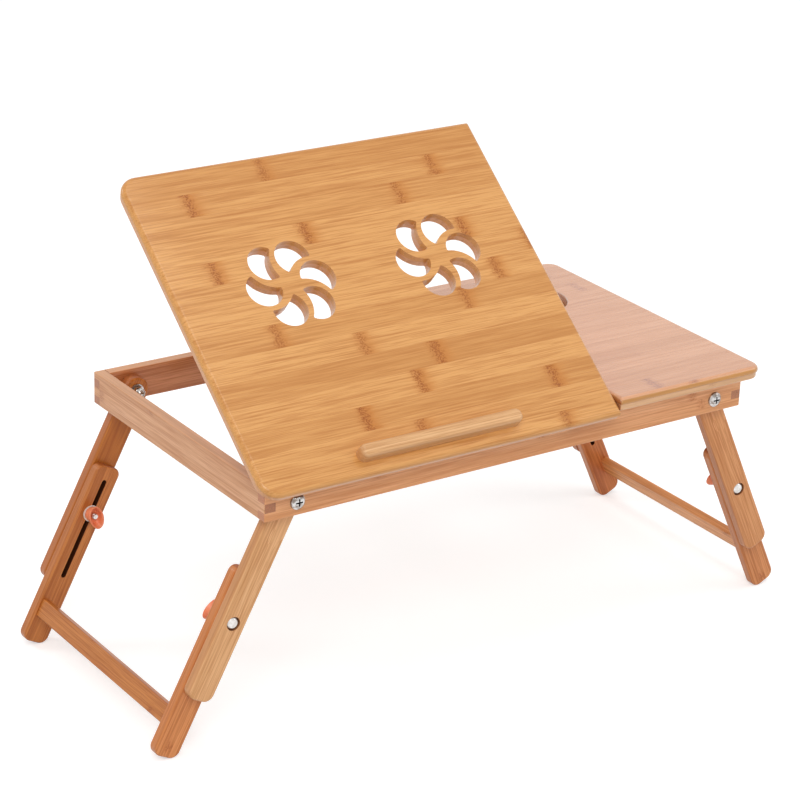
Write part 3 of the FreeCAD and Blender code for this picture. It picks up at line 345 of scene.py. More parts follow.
def findGrain(tree, look, settings):
    # where each point lies along, across and through the strips, and which strip it is in
    turn = grainTurn(look["along"], look["across"])
    angles = tuple(turn.to_euler())
    start = tuple(-(turn @ Vector(look["centre"])))
    coordinates = put(tree, "ShaderNodeTexCoord").outputs
    sockets = {"Vector": coordinates["Object"], "Location": start, "Rotation": angles}
    turned = put(tree, "ShaderNodeMapping", sockets).outputs[0]
    sockets = {"Vector": coordinates["Normal"], "Rotation": angles}
    facing = put(tree, "ShaderNodeMapping", sockets).outputs[0]

    # the grain wanders a little, so strips and fibres are never quite straight
    cloud = calc(tree, "SUBTRACT", noise(tree, turned, settings["wander"], 1.0), 0.5)
    wander = calc(tree, "MULTIPLY", cloud, settings["wanderReach"])
    sideStep = put(tree, "ShaderNodeCombineXYZ", {1: wander, 2: wander}).outputs[0]
    bent = vectorCalc(tree, "ADD", turned, sideStep)

    countFrom = settings["countFrom"]
    split = put(tree, "ShaderNodeSeparateXYZ", {0: bent}).outputs
    across = calc(tree, "MULTIPLY_ADD", split[1], 1 / look["stripWidth"], countFrom + look["stripStart"])
    through = calc(tree, "MULTIPLY_ADD", split[2], 1 / look["layerHeight"], countFrom + 0.5)
    row, layer = calc(tree, "FLOOR", across), calc(tree, "FLOOR", through)
    key = put(tree, "ShaderNodeCombineXYZ", {0: row, 1: layer, 2: look["seed"]}).outputs[0]
    random = put(tree, "ShaderNodeTexWhiteNoise", {"Vector": key}, noise_dimensions="3D").outputs[0]
    shift = calc(tree, "MULTIPLY", random, settings["stripShift"])
    ownPlace = put(tree, "ShaderNodeCombineXYZ", {0: shift}).outputs[0]
    inStrip = vectorCalc(tree, "ADD", bent, ownPlace)
    sides = put(tree, "ShaderNodeSeparateXYZ", {0: facing}).outputs
    return {
        "turned": turned, "bent": bent, "inStrip": inStrip, "along": split[0], "across": across,
        "row": row, "layer": layer, "random": random, "normal": coordinates["Normal"],
        "end": calc(tree, "ABSOLUTE", sides[0]), "flat": calc(tree, "ABSOLUTE", sides[2]),
        "fibres": noise(tree, inStrip, settings["fibres"], 5.0),
    }


def stripColour(tree, grain, look, settings):
    # every strip has a tone of its own, with streaks, fibres and fine dark lines
    tone, contrast = look["tone"], look["contrast"]
    mix = 0.5
    for pattern, weight in (
        (grain["random"], look["stripShare"]),
        (noise(tree, grain["inStrip"], settings["streaks"], 3.0), look["streakShare"]),
        (grain["fibres"], settings["fibreWeight"]),
    ):
        mix = calc(tree, "MULTIPLY_ADD", calc(tree, "SUBTRACT", pattern, 0.5), weight, mix)
    pale = tinted(tone, *[1 + part * contrast for part in settings["paleChange"]])
    deep = tinted(tone, *[1 - part * contrast for part in settings["deepChange"]])
    colour = blend(tree, ease(tree, mix, 0.15, 0.85), pale, deep)
    fibreColour = tinted(tone, *look["fibreTint"])
    fibreShare = ease(tree, grain["fibres"], 0.52, 0.70, 0.0, look["fibreShare"])
    colour = blend(tree, fibreShare, colour, fibreColour)
    fineLines = noise(tree, grain["inStrip"], settings["fineLines"], 2.0)
    return blend(tree, ease(tree, fineLines, 0.46, 0.64, 0.0, look["fibreShare"]), colour, fibreColour)


def growthMarks(tree, along, grain, look, settings):
    # a mark crosses a strip where the cane had a joint, at uneven distances along it
    shift = calc(tree, "MULTIPLY", grain["random"], settings["unevenness"])
    place = calc(tree, "MULTIPLY_ADD", along, 1 / look["markSpacing"], shift)
    cell = calc(tree, "FLOOR", place)
    fromMiddle = calc(tree, "SUBTRACT", calc(tree, "FRACT", place), 0.5)
    shape = bellShape(tree, calc(tree, "MULTIPLY", fromMiddle, look["markSpacing"]), settings["width"])
    key = put(tree, "ShaderNodeCombineXYZ", {0: grain["row"], 1: grain["layer"], 2: cell}).outputs[0]
    chance = put(tree, "ShaderNodeTexWhiteNoise", {"Vector": key}, noise_dimensions="3D").outputs[0]
    chosen = ease(tree, chance, 1.0 - look["markShare"], 1.25 - look["markShare"])
    return calc(tree, "MULTIPLY", shape, chosen)


def placedMark(tree, along, place, grain, look, width, lean=0.0):
    # crosses the whole of one strip, from seam to seam
    x, y, strength = place
    strip = math.floor(y / look["stripWidth"] + grainSettings["countFrom"] + look["stripStart"])
    inStrip = calc(tree, "COMPARE", grain["row"], float(strip), 0.5)
    shape = bellShape(tree, calc(tree, "SUBTRACT", along, x + lean), width)
    return calc(tree, "MULTIPLY", calc(tree, "MULTIPLY", shape, inStrip), strength)


def addMarks(tree, colour, grain, look, settings):
    # growth marks: a soft orange halo beside a ragged line of short dark dashes
    tear = calc(tree, "SUBTRACT", noise(tree, grain["bent"], settings["tears"], 3.0), 0.5)
    ragged = calc(tree, "MULTIPLY_ADD", tear, settings["raggedness"], grain["along"])
    soft = calc(tree, "MULTIPLY_ADD", tear, settings["haloRaggedness"], grain["along"])
    mark = growthMarks(tree, ragged, grain, look, settings)
    halo = calc(tree, "MULTIPLY", mark, 0.5)
    for place in look["placedMarks"]:
        line = placedMark(tree, ragged, place, grain, look, settings["placedWidth"])
        mark = calc(tree, "MAXIMUM", mark, line)
        patch = placedMark(tree, soft, place, grain, look, settings["haloWidth"], settings["haloLean"])
        halo = calc(tree, "MAXIMUM", halo, patch)
    haloDepth = calc(tree, "MULTIPLY", halo, settings["haloShare"] * look["markDepth"])
    colour = blend(tree, haloDepth, colour, tinted(look["tone"], *look["haloTint"]))
    dashes = ease(tree, noise(tree, grain["bent"], settings["dashes"], 2.0), 0.42, 0.58, 0.25, 1.0)
    markDepth = calc(tree, "MULTIPLY", mark, calc(tree, "MULTIPLY", dashes, look["markDepth"]))
    return blend(tree, markDepth, colour, tinted(look["tone"], *look["markTint"]))


def addSeams(tree, colour, grain, look, settings):
    # seams where strips are glued, given back too because they are grooves in the relief
    fromSeam = calc(tree, "ABSOLUTE", calc(tree, "SUBTRACT", calc(tree, "FRACT", grain["across"]), 0.5))
    seam = ease(tree, fromSeam, 0.5 - settings["seamWidth"] / look["stripWidth"], 0.5)
    share = calc(tree, "MULTIPLY", seam, look["seamShare"])
    return blend(tree, share, colour, tinted(look["tone"], *look["fibreTint"])), seam


def addEdges(tree, colour, grain, look, settings):
    # long edges have a tone of their own, partly painted light and shade: the rails' top and bottom faces are made
    # lighter as painted light, and the upper legs' sides darker as painted shade. Cut ends show the dotted ends of
    # the fibres
    edge = tinted(look["tone"], *look["edgeToneAndLighting"])
    darkEdge = tinted(look["tone"], *[part * settings["darkerEdge"] for part in look["edgeToneAndLighting"]])
    onEdge = blend(tree, ease(tree, grain["fibres"], 0.4, 0.65), edge, darkEdge)
    colour = blend(tree, ease(tree, grain["flat"], 0.92, 0.45, 0.0, look["edgeShare"]), colour, onEdge)
    end = tinted(look["tone"], *look["endTint"])
    paleEnd = tinted(look["tone"], *[part * settings["palerDots"] for part in look["endTint"]])
    dots = ease(tree, noise(tree, grain["turned"], settings["endDots"], 2.0), 0.42, 0.62)
    onEnd = blend(tree, dots, end, paleEnd)
    cutEnd = ease(tree, grain["end"], 0.6, 0.92)
    return blend(tree, calc(tree, "MULTIPLY", cutEnd, look["endShare"]), colour, onEnd)


def addPaintedShade(tree, colour, grain, look):
    # painted shade: the faces of some boards that point a given way are darkened, for the shadow that falls on
    # them
    toward = vectorCalc(tree, "DOT_PRODUCT", grain["normal"], look["shadeSide"], "Value")
    shaded = blend(tree, 1.0, colour, (*look["shadeTint"], 1.0), "MULTIPLY")
    return blend(tree, ease(tree, toward, 0.3, 0.7), colour, shaded)


def paintSlotShade(tree, colour, grain, look, settings):
    # painted shade: the walls of routed slots are painted dark brown, for the shade deep inside them
    middle, halfLength, halfWidth = look["slot"]
    fade = settings["slotFade"]
    fromMiddle = vectorCalc(tree, "SUBTRACT", grain["turned"], (middle, 0.0, 0.0))
    spot = put(tree, "ShaderNodeSeparateXYZ", {0: fromMiddle}).outputs
    inLength = ease(tree, calc(tree, "ABSOLUTE", spot[0]), halfLength, halfLength + fade, 1.0, 0.0)
    inWidth = ease(tree, calc(tree, "ABSOLUTE", spot[1]), halfWidth, halfWidth + fade, 1.0, 0.0)
    inside = calc(tree, "MULTIPLY", inLength, inWidth)
    wall = calc(tree, "MULTIPLY", inside, ease(tree, grain["flat"], 0.85, 0.5))
    return blend(tree, wall, colour, look["hollowColour"])


def addPitColour(tree, colour, grain, look, settings):
    # a recess is painted inside with a colour of its own: painted shade in the upper legs' bolt recesses, a paler
    # pinkish tan on the cup hole's wall
    x, y, radius = look["pit"]
    level = vectorCalc(tree, "MULTIPLY", grain["turned"], (1.0, 1.0, 0.0))
    away = vectorCalc(tree, "DISTANCE", level, (x, y, 0.0), "Value")
    inner, outer = radius - settings["pitInside"], radius + settings["pitOutside"]
    share = ease(tree, away, inner, outer, settings["pitShare"], 0.0)
    return blend(tree, share, colour, look["hollowColour"])


def addRelief(tree, shader, seam, grain, look, settings):
    # raised fibres and sunk seams, under a clear coat
    hairs = noise(tree, grain["inStrip"], settings["hairs"], 2.0)
    height = calc(tree, "MULTIPLY", grain["fibres"], settings["fibreRelief"])
    height = calc(tree, "MULTIPLY_ADD", hairs, settings["hairRelief"], height)
    height = calc(tree, "MULTIPLY_ADD", seam, settings["seamRelief"], height)
    sockets = {"Height": height, "Strength": look["relief"], "Distance": settings["reliefDepth"]}
    bump = put(tree, "ShaderNodeBump", sockets).outputs[0]
    rough = ease(tree, grain["fibres"], 0.3, 0.7, look["roughness"] - 0.05, look["roughness"] + 0.08)
    tree.links.new(rough, shader.inputs["Roughness"])
    tree.links.new(bump, shader.inputs["Normal"])
    shader.inputs["Specular IOR Level"].default_value = look["gloss"]
    shader.inputs["Coat Weight"].default_value = look["coat"]
    shader.inputs["Coat Roughness"].default_value = look["coatRoughness"]


def bambooMaterial(name, **changes):
    look = {**bambooBasics, **changes}
    material, tree, shader = newMaterial(name)
    grain = findGrain(tree, look, grainSettings)
    colour = stripColour(tree, grain, look, grainSettings)
    colour = addMarks(tree, colour, grain, look, markSettings)
    colour, seam = addSeams(tree, colour, grain, look, grainSettings)
    colour = addEdges(tree, colour, grain, look, grainSettings)
    # painted shade on the faces that point a given way
    if look["shadeSide"]:
        colour = addPaintedShade(tree, colour, grain, look)
    # painted shade on slot walls, and a colour of its own inside a recess
    if look["slot"]:
        colour = paintSlotShade(tree, colour, grain, look, hollowSettings)
    if look["pit"]:
        colour = addPitColour(tree, colour, grain, look, hollowSettings)
    tree.links.new(colour, shader.inputs["Base Color"])
    addRelief(tree, shader, seam, grain, look, grainSettings)
    return material


# boards of the panel and of the fixed top

panelTilt = math.radians(joints["panel_tilt"]["range_deg"][1])
panelUp = Vector((0.0, -math.sin(panelTilt), math.cos(panelTilt)))
boardLook = {
    "along": (1.0, 0.0, 0.0),
    "across": (0.0, math.cos(panelTilt), math.sin(panelTilt)),
    "centre": (0.0, *joints["panel_tilt"]["pos_m"][1:]),
}
panelLook = {
    "stripStart": 0.93, "tone": paint(216, 155, 89), "markShare": 0.0, "markDepth": 0.95,
    "stripShare": 0.4, "streakShare": 0.6, "fibreShare": 0.45, "roughness": 0.30, "gloss": 0.2,
    "coat": 0.35, "coatRoughness": 0.12, "edgeToneAndLighting": (1.0, 0.96, 0.85), "endTint": (0.88, 0.90, 0.92),
    "endShare": 0.7,
    # metres along the strips from the middle, metres up the panel from its hinge line, strength
    "placedMarks": [
        (-0.119, 0.272, 0.7), (-0.197, 0.250, 1.0), (0.038, 0.250, 0.85), (-0.006, 0.228, 0.8),
        (-0.108, 0.207, 1.0), (0.037, 0.187, 1.0), (-0.203, 0.187, 1.0), (0.094, 0.166, 0.8),
        (0.0485, 0.143, 0.9), (0.006, 0.120, 0.8), (-0.176, 0.121, 0.8), (-0.106, 0.099, 0.75),
        (-0.044, 0.078, 1.0), (-0.072, 0.056, 1.0), (0.050, 0.034, 1.0), (-0.135, 0.034, 1.1),
        (-0.090, 0.012, 0.8), (0.041, -0.008, 0.8),
    ],
}
panelBackLook = {
    "seed": 4.0, "tone": paint(220, 160, 106), "markShare": 0.35, "edgeToneAndLighting": (1.0, 1.0, 1.1),
    "endTint": (0.84, 0.80, 0.80), "endShare": 0.5,
}
dress(bambooMaterial("panelBamboo", **boardLook, **panelLook), "tilt_board")
dress(bambooMaterial("panelBackBamboo", **boardLook, **panelBackLook), "tilt_backing")

cupMount = next(mount for mount in frame["record"]["mounts"] if mount["name"] == "cup_hole")
cupRadius = cupMount["dims"]["r_mm"] / 1000
fixedStart = Vector((0.0, -0.135, 0.2253))   # the fixed top's strips are counted from its front edge
cupPlace = Vector(cupMount["pos_m"]) - fixedStart
fixedLook = {"centre": tuple(fixedStart), "contrast": 0.8, "fibreShare": 0.25, "stripShare": 0.35}
fixedTopLook = {
    "seed": 9.0, "tone": paint(215, 151, 106), "markTint": (0.46, 0.30, 0.38), "markShare": 0.7,
    "haloTint": (0.80, 0.66, 0.70), "markDepth": 0.8, "coat": 0.8, "coatRoughness": 0.10,
    "roughness": 0.26, "edgeToneAndLighting": (0.86, 0.80, 0.26), "edgeShare": 0.95,
    # the cup hole's wall is painted a paler pinkish tan
    "pit": (cupPlace.x, cupPlace.y, cupRadius + 0.0012), "hollowColour": paint(196, 154, 132),
}
fixedBackLook = {
    "seed": 12.0, "tone": paint(222, 172, 124), "edgeToneAndLighting": (1.04, 1.04, 1.04), "markShare": 0.3,
}
dress(bambooMaterial("fixedTopBamboo", **fixedLook, **fixedTopLook), "fixed_board")
dress(bambooMaterial("fixedBackBamboo", **fixedLook, **fixedBackLook), "fixed_backing")
print("bed table: boards finished")


# rails, book stop, battens and prop arms

crosswise = (0.0, 1.0, 0.0)
frontward = (0.0, -1.0, 0.0)
upright = (0.0, 0.0, 1.0)
railLook = {
    "across": upright, "stripWidth": 0.0094, "layerHeight": 0.010, "markSpacing": 0.16,
    "roughness": 0.42, "coat": 0.3, "coatRoughness": 0.2, "edgeShare": 0.9, "markShare": 0.4,
    # the edge colour makes the rails' top and bottom faces lighter: painted light
    "edgeToneAndLighting": (1.08, 1.14, 1.22), "endTint": (0.50, 0.36, 0.34), "endShare": 0.85,
    "seamShare": 0.55, "contrast": 1.2,
}
frontRailLook = {"seed": 21.0, "tone": paint(234, 168, 114)}
# painted shade on the rear rail's front face, which the table shades
rearRailLook = {
    "seed": 22.0, "tone": paint(214, 150, 100), "shadeSide": frontward, "shadeTint": (0.84, 0.72, 0.64),
}
endRailLook = {"seed": 24.0, "tone": paint(215, 156, 108), "along": crosswise}
stopLook = {
    "seed": 31.0, "tone": paint(218, 167, 113), "stripWidth": 0.006, "edgeToneAndLighting": (0.86, 0.80, 0.78),
    "edgeShare": 0.6, "markShare": 0.15, "roughness": 0.45, "coat": 0.3, "endTint": (0.8, 0.74, 0.7),
    "endShare": 0.5,
}
beechLook = {
    "tone": paint(212, 168, 122), "stripWidth": 0.04, "layerHeight": 0.04, "contrast": 0.5,
    "fibreShare": 0.4, "markShare": 0.0, "edgeShare": 0.15, "roughness": 0.55, "coat": 0.0,
    "endTint": (0.66, 0.58, 0.52),
}
dress(bambooMaterial("frontRailBamboo", **railLook, **frontRailLook), "front_rail")
dress(bambooMaterial("rearRailBamboo", **railLook, **rearRailLook), "rear_rail")
dress(bambooMaterial("endRailBamboo", **railLook, **endRailLook), "left_end_rail", "right_end_rail")
dress(bambooMaterial("stopBamboo", **boardLook, **stopLook), "book_stop")
dress(bambooMaterial("beechAlong", **beechLook, seed=41.0, along=crosswise, across=upright),
      "left_batten", "seam_batten", "left_rack", "seam_rack", "fixed_top_dowels")

# the arms' grain runs from their pivots to the rod
rodMiddle = sum((Vector(corner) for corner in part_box("prop_rod")), Vector()) / 2
armRun = rodMiddle - Vector(joints["prop_fold"]["pos_m"])
armRun.x = 0.0
armAcross = armRun.cross(Vector((1.0, 0.0, 0.0)))
dress(bambooMaterial("beechArm", **beechLook, seed=43.0, along=tuple(armRun), across=tuple(armAcross)),
      "left_prop_arm", "right_prop_arm")
print("bed table: frame finished")


# legs: the grain follows each leg, which stands splayed

legLook = {
    "layerHeight": 0.005, "stripWidth": 0.0062, "roughness": 0.40, "gloss": 0.3, "coat": 0.2,
    "coatRoughness": 0.16, "seamShare": 0.5, "stripShare": 0.6, "contrast": 1.25,
}
# the slot and the bolt's recess are given by their distance from the pivot; the bolt's recess is painted dark
# inside as painted shade, and so are the slot's walls
upperLook = {
    "pit": (0.1096, 0.0, 0.0058), "hollowColour": paint(112, 66, 40), "stripShare": 0.3, "contrast": 1.0,
    # the edge colour darkens the upper legs' sides: painted shade
    "edgeToneAndLighting": (0.72, 0.56, 0.44), "edgeShare": 0.7, "markShare": 0.15,
}
# the lower legs' slot walls get painted shade
lowerLook = {
    "slot": (0.1245, 0.0456, 0.0026), "edgeToneAndLighting": (0.90, 0.80, 0.70), "edgeShare": 0.5,
    "markShare": 0.35,
}
legWood = {
    # leg board: tone, and the painted shade on its front face
    "left_front_upper_leg": (paint(227, 172, 119), None),
    "left_front_lower_leg": (paint(212, 135, 76), None),
    "left_rear_upper_leg": (paint(206, 132, 76), (0.88, 0.77, 0.35)),
    "left_rear_lower_leg": (paint(193, 117, 55), None),
    "right_front_upper_leg": (paint(216, 149, 94), None),
    "right_front_lower_leg": (paint(208, 134, 78), None),
    "right_rear_upper_leg": (paint(206, 132, 76), (0.90, 0.66, 0.42)),
    "right_rear_lower_leg": (paint(210, 134, 80), (0.97, 0.82, 0.64)),
}
legSeeds = {
    ("front", "upper"): 51.0, ("front", "lower"): 54.0, ("rear", "upper"): 57.0, ("rear", "lower"): 60.0,
}
barLook = {"seed": 61.0, "stripWidth": 0.009, "markShare": 0.6, "markSpacing": 0.13}
barTones = {"left": paint(191, 116, 50), "right": paint(230, 160, 98)}


def dressLeg(side, place, part, legGrain):
    node = f"{side}_{place}_{part}_leg"
    tone, shadeTint = legWood[node]
    look = {**legLook, **(upperLook if part == "upper" else lowerLook), **legGrain}
    look.update(seed=legSeeds[place, part], tone=tone)
    if shadeTint:
        look.update(shadeSide=frontward, shadeTint=shadeTint)
    dress(bambooMaterial(f"{side}{place.title()}{part.title()}Bamboo", **look), node)


def dressLegs(side):
    upward = Vector(joints[f"{side}_legs_height"]["axis"])
    sideways = upward.cross(Vector(crosswise))
    pivot = tuple(joints[f"{side}_legs_fold"]["pos_m"])
    legGrain = {"along": tuple(-upward), "across": tuple(sideways), "centre": pivot}
    for place in ("front", "rear"):
        for part in ("upper", "lower"):
            dressLeg(side, place, part, legGrain)
    barGrain = {"along": crosswise, "across": tuple(upward), "centre": pivot, "tone": barTones[side]}
    dress(bambooMaterial(f"{side}BarBamboo", **{**legLook, **barLook, **barGrain}), f"{side}_crossbar")


for side in ("left", "right"):
    dressLegs(side)
print("bed table: legs finished")


# metal, nylon and moulded plastic

metalBasics = {
    "cloudColour": paint(150, 150, 152),
    "cloudShare": 0.35,
    "clouds": (260, 260, 260),
    "scratches": (300, 2600, 2600),
    "scratchRoughness": 0.10,
    "relief": 0.05,
    "reliefDepth": 0.0001,
}
mouldedSettings = {
    "clouds": (120, 120, 120),
    "cloudShare": 0.5,
    "pores": (2200, 2200, 2200),
    "relief": 0.12,
    "reliefDepth": 0.0001,
    "glowRadius": (0.004, 0.0015, 0.001),
    "glowScale": 0.5,
}


def addBump(tree, shader, height, settings):
    sockets = {"Height": height, "Strength": settings["relief"], "Distance": settings["reliefDepth"]}
    bump = put(tree, "ShaderNodeBump", sockets).outputs[0]
    tree.links.new(bump, shader.inputs["Normal"])


def metalMaterial(name, colour, roughness, **changes):
    look = {**metalBasics, **changes}
    material, tree, shader = newMaterial(name)
    place = put(tree, "ShaderNodeTexCoord").outputs["Object"]
    clouds = ease(tree, noise(tree, place, look["clouds"], 2.0), 0.42, 0.62, 0.0, look["cloudShare"])
    tree.links.new(blend(tree, clouds, colour, look["cloudColour"]), shader.inputs["Base Color"])
    scratches = noise(tree, place, look["scratches"], 2.0)
    spread = look["scratchRoughness"]
    rough = ease(tree, scratches, 0.3, 0.7, roughness - spread / 2, roughness + spread)
    tree.links.new(rough, shader.inputs["Roughness"])
    addBump(tree, shader, scratches, look)
    shader.inputs["Metallic"].default_value = 1.0
    return material


def mouldedMaterial(name, colour, deepColour, roughness, glow, settings):
    material, tree, shader = newMaterial(name)
    place = put(tree, "ShaderNodeTexCoord").outputs["Object"]
    clouds = noise(tree, place, settings["clouds"], 2.0)
    deepShare = ease(tree, clouds, 0.3, 0.75, 0.0, settings["cloudShare"])
    tree.links.new(blend(tree, deepShare, colour, deepColour), shader.inputs["Base Color"])
    rough = ease(tree, clouds, 0.3, 0.7, roughness - 0.04, roughness + 0.06)
    tree.links.new(rough, shader.inputs["Roughness"])
    addBump(tree, shader, noise(tree, place, settings["pores"], 2.0), settings)
    shader.inputs["Subsurface Weight"].default_value = glow
    shader.inputs["Subsurface Radius"].default_value = settings["glowRadius"]
    shader.inputs["Subsurface Scale"].default_value = settings["glowScale"]
    return material


def paintRecessShade(material, settings):
    # painted shade: the cross recess in each pivot bolt's dome is painted dark inside
    tree = material.node_tree
    shader = tree.nodes["Principled BSDF"]
    place = put(tree, "ShaderNodeTexCoord").outputs["Object"]
    fromMiddle = vectorCalc(tree, "SUBTRACT", place, (0.0, settings["railsMiddle"], 0.0))
    depth = calc(tree, "ABSOLUTE", put(tree, "ShaderNodeSeparateXYZ", {0: fromMiddle}).outputs[1])
    domeStart, radius = settings["domeStart"], settings["recessRadius"]
    below = ease(tree, depth, domeStart - settings["depthFade"], domeStart, 1.0, 0.0)
    flatPlace = vectorCalc(tree, "MULTIPLY", place, (1.0, 0.0, 1.0))
    share = 0.0
    for side in ("left", "right"):
        pivot = joints[f"{side}_legs_fold"]["pos_m"]
        away = vectorCalc(tree, "DISTANCE", flatPlace, (pivot[0], 0.0, pivot[2]), "Value")
        near = ease(tree, away, radius - settings["rimFade"], radius + settings["rimFade"], 1.0, 0.0)
        share = calc(tree, "MAXIMUM", near, share)
    inside = calc(tree, "MULTIPLY", share, below)
    plain = shader.inputs["Base Color"].links[0].from_socket
    darkened = blend(tree, inside, plain, settings["recessShadeColour"])
    tree.links.new(darkened, shader.inputs["Base Color"])


railsLow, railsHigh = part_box("front_rail")[0][1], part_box("rear_rail")[1][1]
domeHeight = 0.0028   # of a bolt's dome over its rail
boltSettings = {
    "railsMiddle": (railsLow + railsHigh) / 2,
    "domeStart": (railsHigh - railsLow) / 2 + domeHeight,
    "depthFade": 0.0003,
    "recessRadius": 0.0034,
    "rimFade": 0.0001,
    # painted shade inside the bolts' cross recesses
    "recessShadeColour": paint(52, 44, 38),
}
chromeLook = {
    "colour": paint(206, 204, 202), "roughness": 0.12, "cloudColour": paint(110, 90, 74), "cloudShare": 0.75,
}
clampLook = {
    "colour": paint(228, 226, 224), "roughness": 0.26, "cloudColour": paint(170, 160, 150), "cloudShare": 0.4,
}
chrome = metalMaterial("chrome", **chromeLook)
boltChrome = metalMaterial("boltChrome", **chromeLook)
paintRecessShade(boltChrome, boltSettings)
clampZinc = metalMaterial("clampZinc", **clampLook)
zinc = metalMaterial("zincPlate", paint(196, 196, 198), 0.30)
screwZinc = metalMaterial("screwZinc", paint(180, 180, 178), 0.34)
orange = mouldedMaterial(
    "orangePlastic", paint(244, 142, 98), paint(228, 112, 70), 0.38, 0.15, mouldedSettings)
nylon = mouldedMaterial(
    "paleNylon", paint(236, 228, 220), paint(222, 210, 200), 0.42, 0.2, mouldedSettings)

dress(boltChrome, "pivot_bolts")
dress(chrome, "pivot_acorn_nuts")
dress(clampZinc, "left_clamp_bolts", "right_clamp_bolts")
dress(zinc, "pivot_washers", "left_hinge_rail_leaf", "right_hinge_rail_leaf", "left_hinge_panel_leaf",
      "right_hinge_panel_leaf", "left_prop_bracket", "right_prop_bracket", "prop_rod")
dress(screwZinc, "left_hinge_pin", "right_hinge_pin", "prop_pivot_pins")
dress(nylon, "left_clamp_washers", "right_clamp_washers")
print("bed table: metal and plastic finished")


# what repeats is set on points, each with the direction that it faces

def newTree(name, inputs):
    tree = bpy.data.node_groups.new(name, "GeometryNodeTree")
    tree.interface.new_socket("Geometry", in_out="INPUT", socket_type="NodeSocketGeometry")
    sockets = {}
    for label, (kind, value) in inputs.items():
        socket = tree.interface.new_socket(label, in_out="INPUT", socket_type=kind)
        if value is not None:
            socket.default_value = value
        sockets[label] = socket.identifier
    tree.interface.new_socket("Geometry", in_out="OUTPUT", socket_type="NodeSocketGeometry")
    return tree, sockets


def facingTurn(tree):
    # turns a shape's z axis the way its point faces
    sockets = {"Name": "facing"}
    facing = put(tree, "GeometryNodeInputNamedAttribute", sockets, data_type="FLOAT_VECTOR").outputs[0]
    return put(tree, "FunctionNodeAlignRotationToVector", {"Vector": facing}, axis="Z").outputs[0]


def placeEach(tree, entry, shape, turn):
    sockets = {"Points": entry["Geometry"], "Instance": shape, "Rotation": turn}
    placed = put(tree, "GeometryNodeInstanceOnPoints", sockets).outputs[0]
    realized = put(tree, "GeometryNodeRealizeInstances", {"Geometry": placed}).outputs[0]
    sockets = {"Geometry": realized, "Material": entry["Material"]}
    painted = put(tree, "GeometryNodeSetMaterial", sockets).outputs[0]
    put(tree, "NodeGroupOutput", {0: painted})


def facingPoints(name, places, directions):
    mesh = bpy.data.meshes.new(name)
    mesh.from_pydata([tuple(place) for place in places], [], [])
    attribute = mesh.attributes.new("facing", "FLOAT_VECTOR", "POINT")
    for index, direction in enumerate(directions):
        attribute.data[index].vector = direction
    return mesh


def growPiece(name, mesh, tree, sockets, values):
    # runs a node tree on a mesh and keeps the result as a plain mesh
    holder = addObject(name + "Maker", mesh)
    modifier = holder.modifiers.new("nodes", "NODES")
    modifier.node_group = tree
    for label, value in values.items():
        modifier[sockets[label]] = value
    bpy.context.view_layer.update()
    evaluated = holder.evaluated_get(bpy.context.evaluated_depsgraph_get())
    result = bpy.data.meshes.new_from_object(evaluated)
    holder.modifiers.clear()
    bpy.data.objects.remove(holder)
    return addObject(name, result)


def solidsOf(name):
    # the points of each separate solid in a CAD piece, read from a merged copy
    maker = bmesh.new()
    maker.from_mesh(nodes[name].data)
    bmesh.ops.remove_doubles(maker, verts=maker.verts, dist=1e-6)
    maker.verts.ensure_lookup_table()
    seen, groups = set(), []
    for start in maker.verts:
        if start in seen:
            continue
        group, waiting = [], [start]
        seen.add(start)
        while waiting:
            vertex = waiting.pop()
            group.append(vertex.co.copy())
            for edge in vertex.link_edges:
                other = edge.other_vert(vertex)
                if other not in seen:
                    seen.add(other)
                    waiting.append(other)
        groups.append(group)
    maker.free()
    return groups


# wood screws with cross recesses, set wherever the CAD has a plain one

screwSettings = {
    "headRadius": 0.0023,
    "crownRadius": 0.86,   # share of the head's radius
    "sunk": 0.0003,        # below the face around it, so that closed leaves clear each other
    "headHeight": 0.0014,
    "shankRadius": 0.0012,
    "shankLength": 0.0030,
    "tipRadius": 0.8,      # share of the shank's radius
    "domeHeight": 0.0002,
    "slotHalfWidth": 0.00032,
    "slotReach": 0.0014,
    "slotDepth": 0.0008,
    "slotFloor": (0.8, 0.6),   # shares of the mouth's half width and reach
    "corners": 32,
    "turnSpread": 3.0,     # radians that the recesses may be turned by
    "seed": 7,
    "endBand": 1e-4,       # points this close to a screw's end belong to it
    "topBand": 2e-5,       # points this close to the top of its head belong to that
}
screwPlaces = {
    # piece: CAD piece, body, the line that its screws lie along
    "hingeRailScrews": ("hinge_rail_screws", "table", Vector(upright)),
    "hingePanelScrews": ("hinge_panel_screws", "tilt_panel", panelUp),
    "bracketScrews": ("prop_bracket_screws", "tilt_panel", panelUp),
    "rackScrews": ("rack_screws", "table", Vector((1.0, 0.0, 0.0))),
    "stopScrews": ("book_stop_screws", "tilt_panel", panelUp),
}


def ring(maker, radius, height, corners):
    angles = [2 * math.pi * step / corners for step in range(corners)]
    return [maker.verts.new((radius * math.cos(angle), radius * math.sin(angle), height)) for angle in angles]


def crossOutline(maker, half, reach, height):
    corners = []
    for turn in range(4):
        cosine, sine = math.cos(turn * math.pi / 2), math.sin(turn * math.pi / 2)
        for x, y in ((reach, -half), (reach, half), (half, half)):
            corners.append(maker.verts.new((x * cosine - y * sine, x * sine + y * cosine, height)))
    return corners


def nextOnes(loop):
    return zip(loop, loop[1:] + loop[:1])


def wallBetween(maker, low, high):
    for (lowOne, lowNext), (highOne, highNext) in zip(nextOnes(low), nextOnes(high)):
        maker.faces.new((lowOne, lowNext, highNext, highOne))


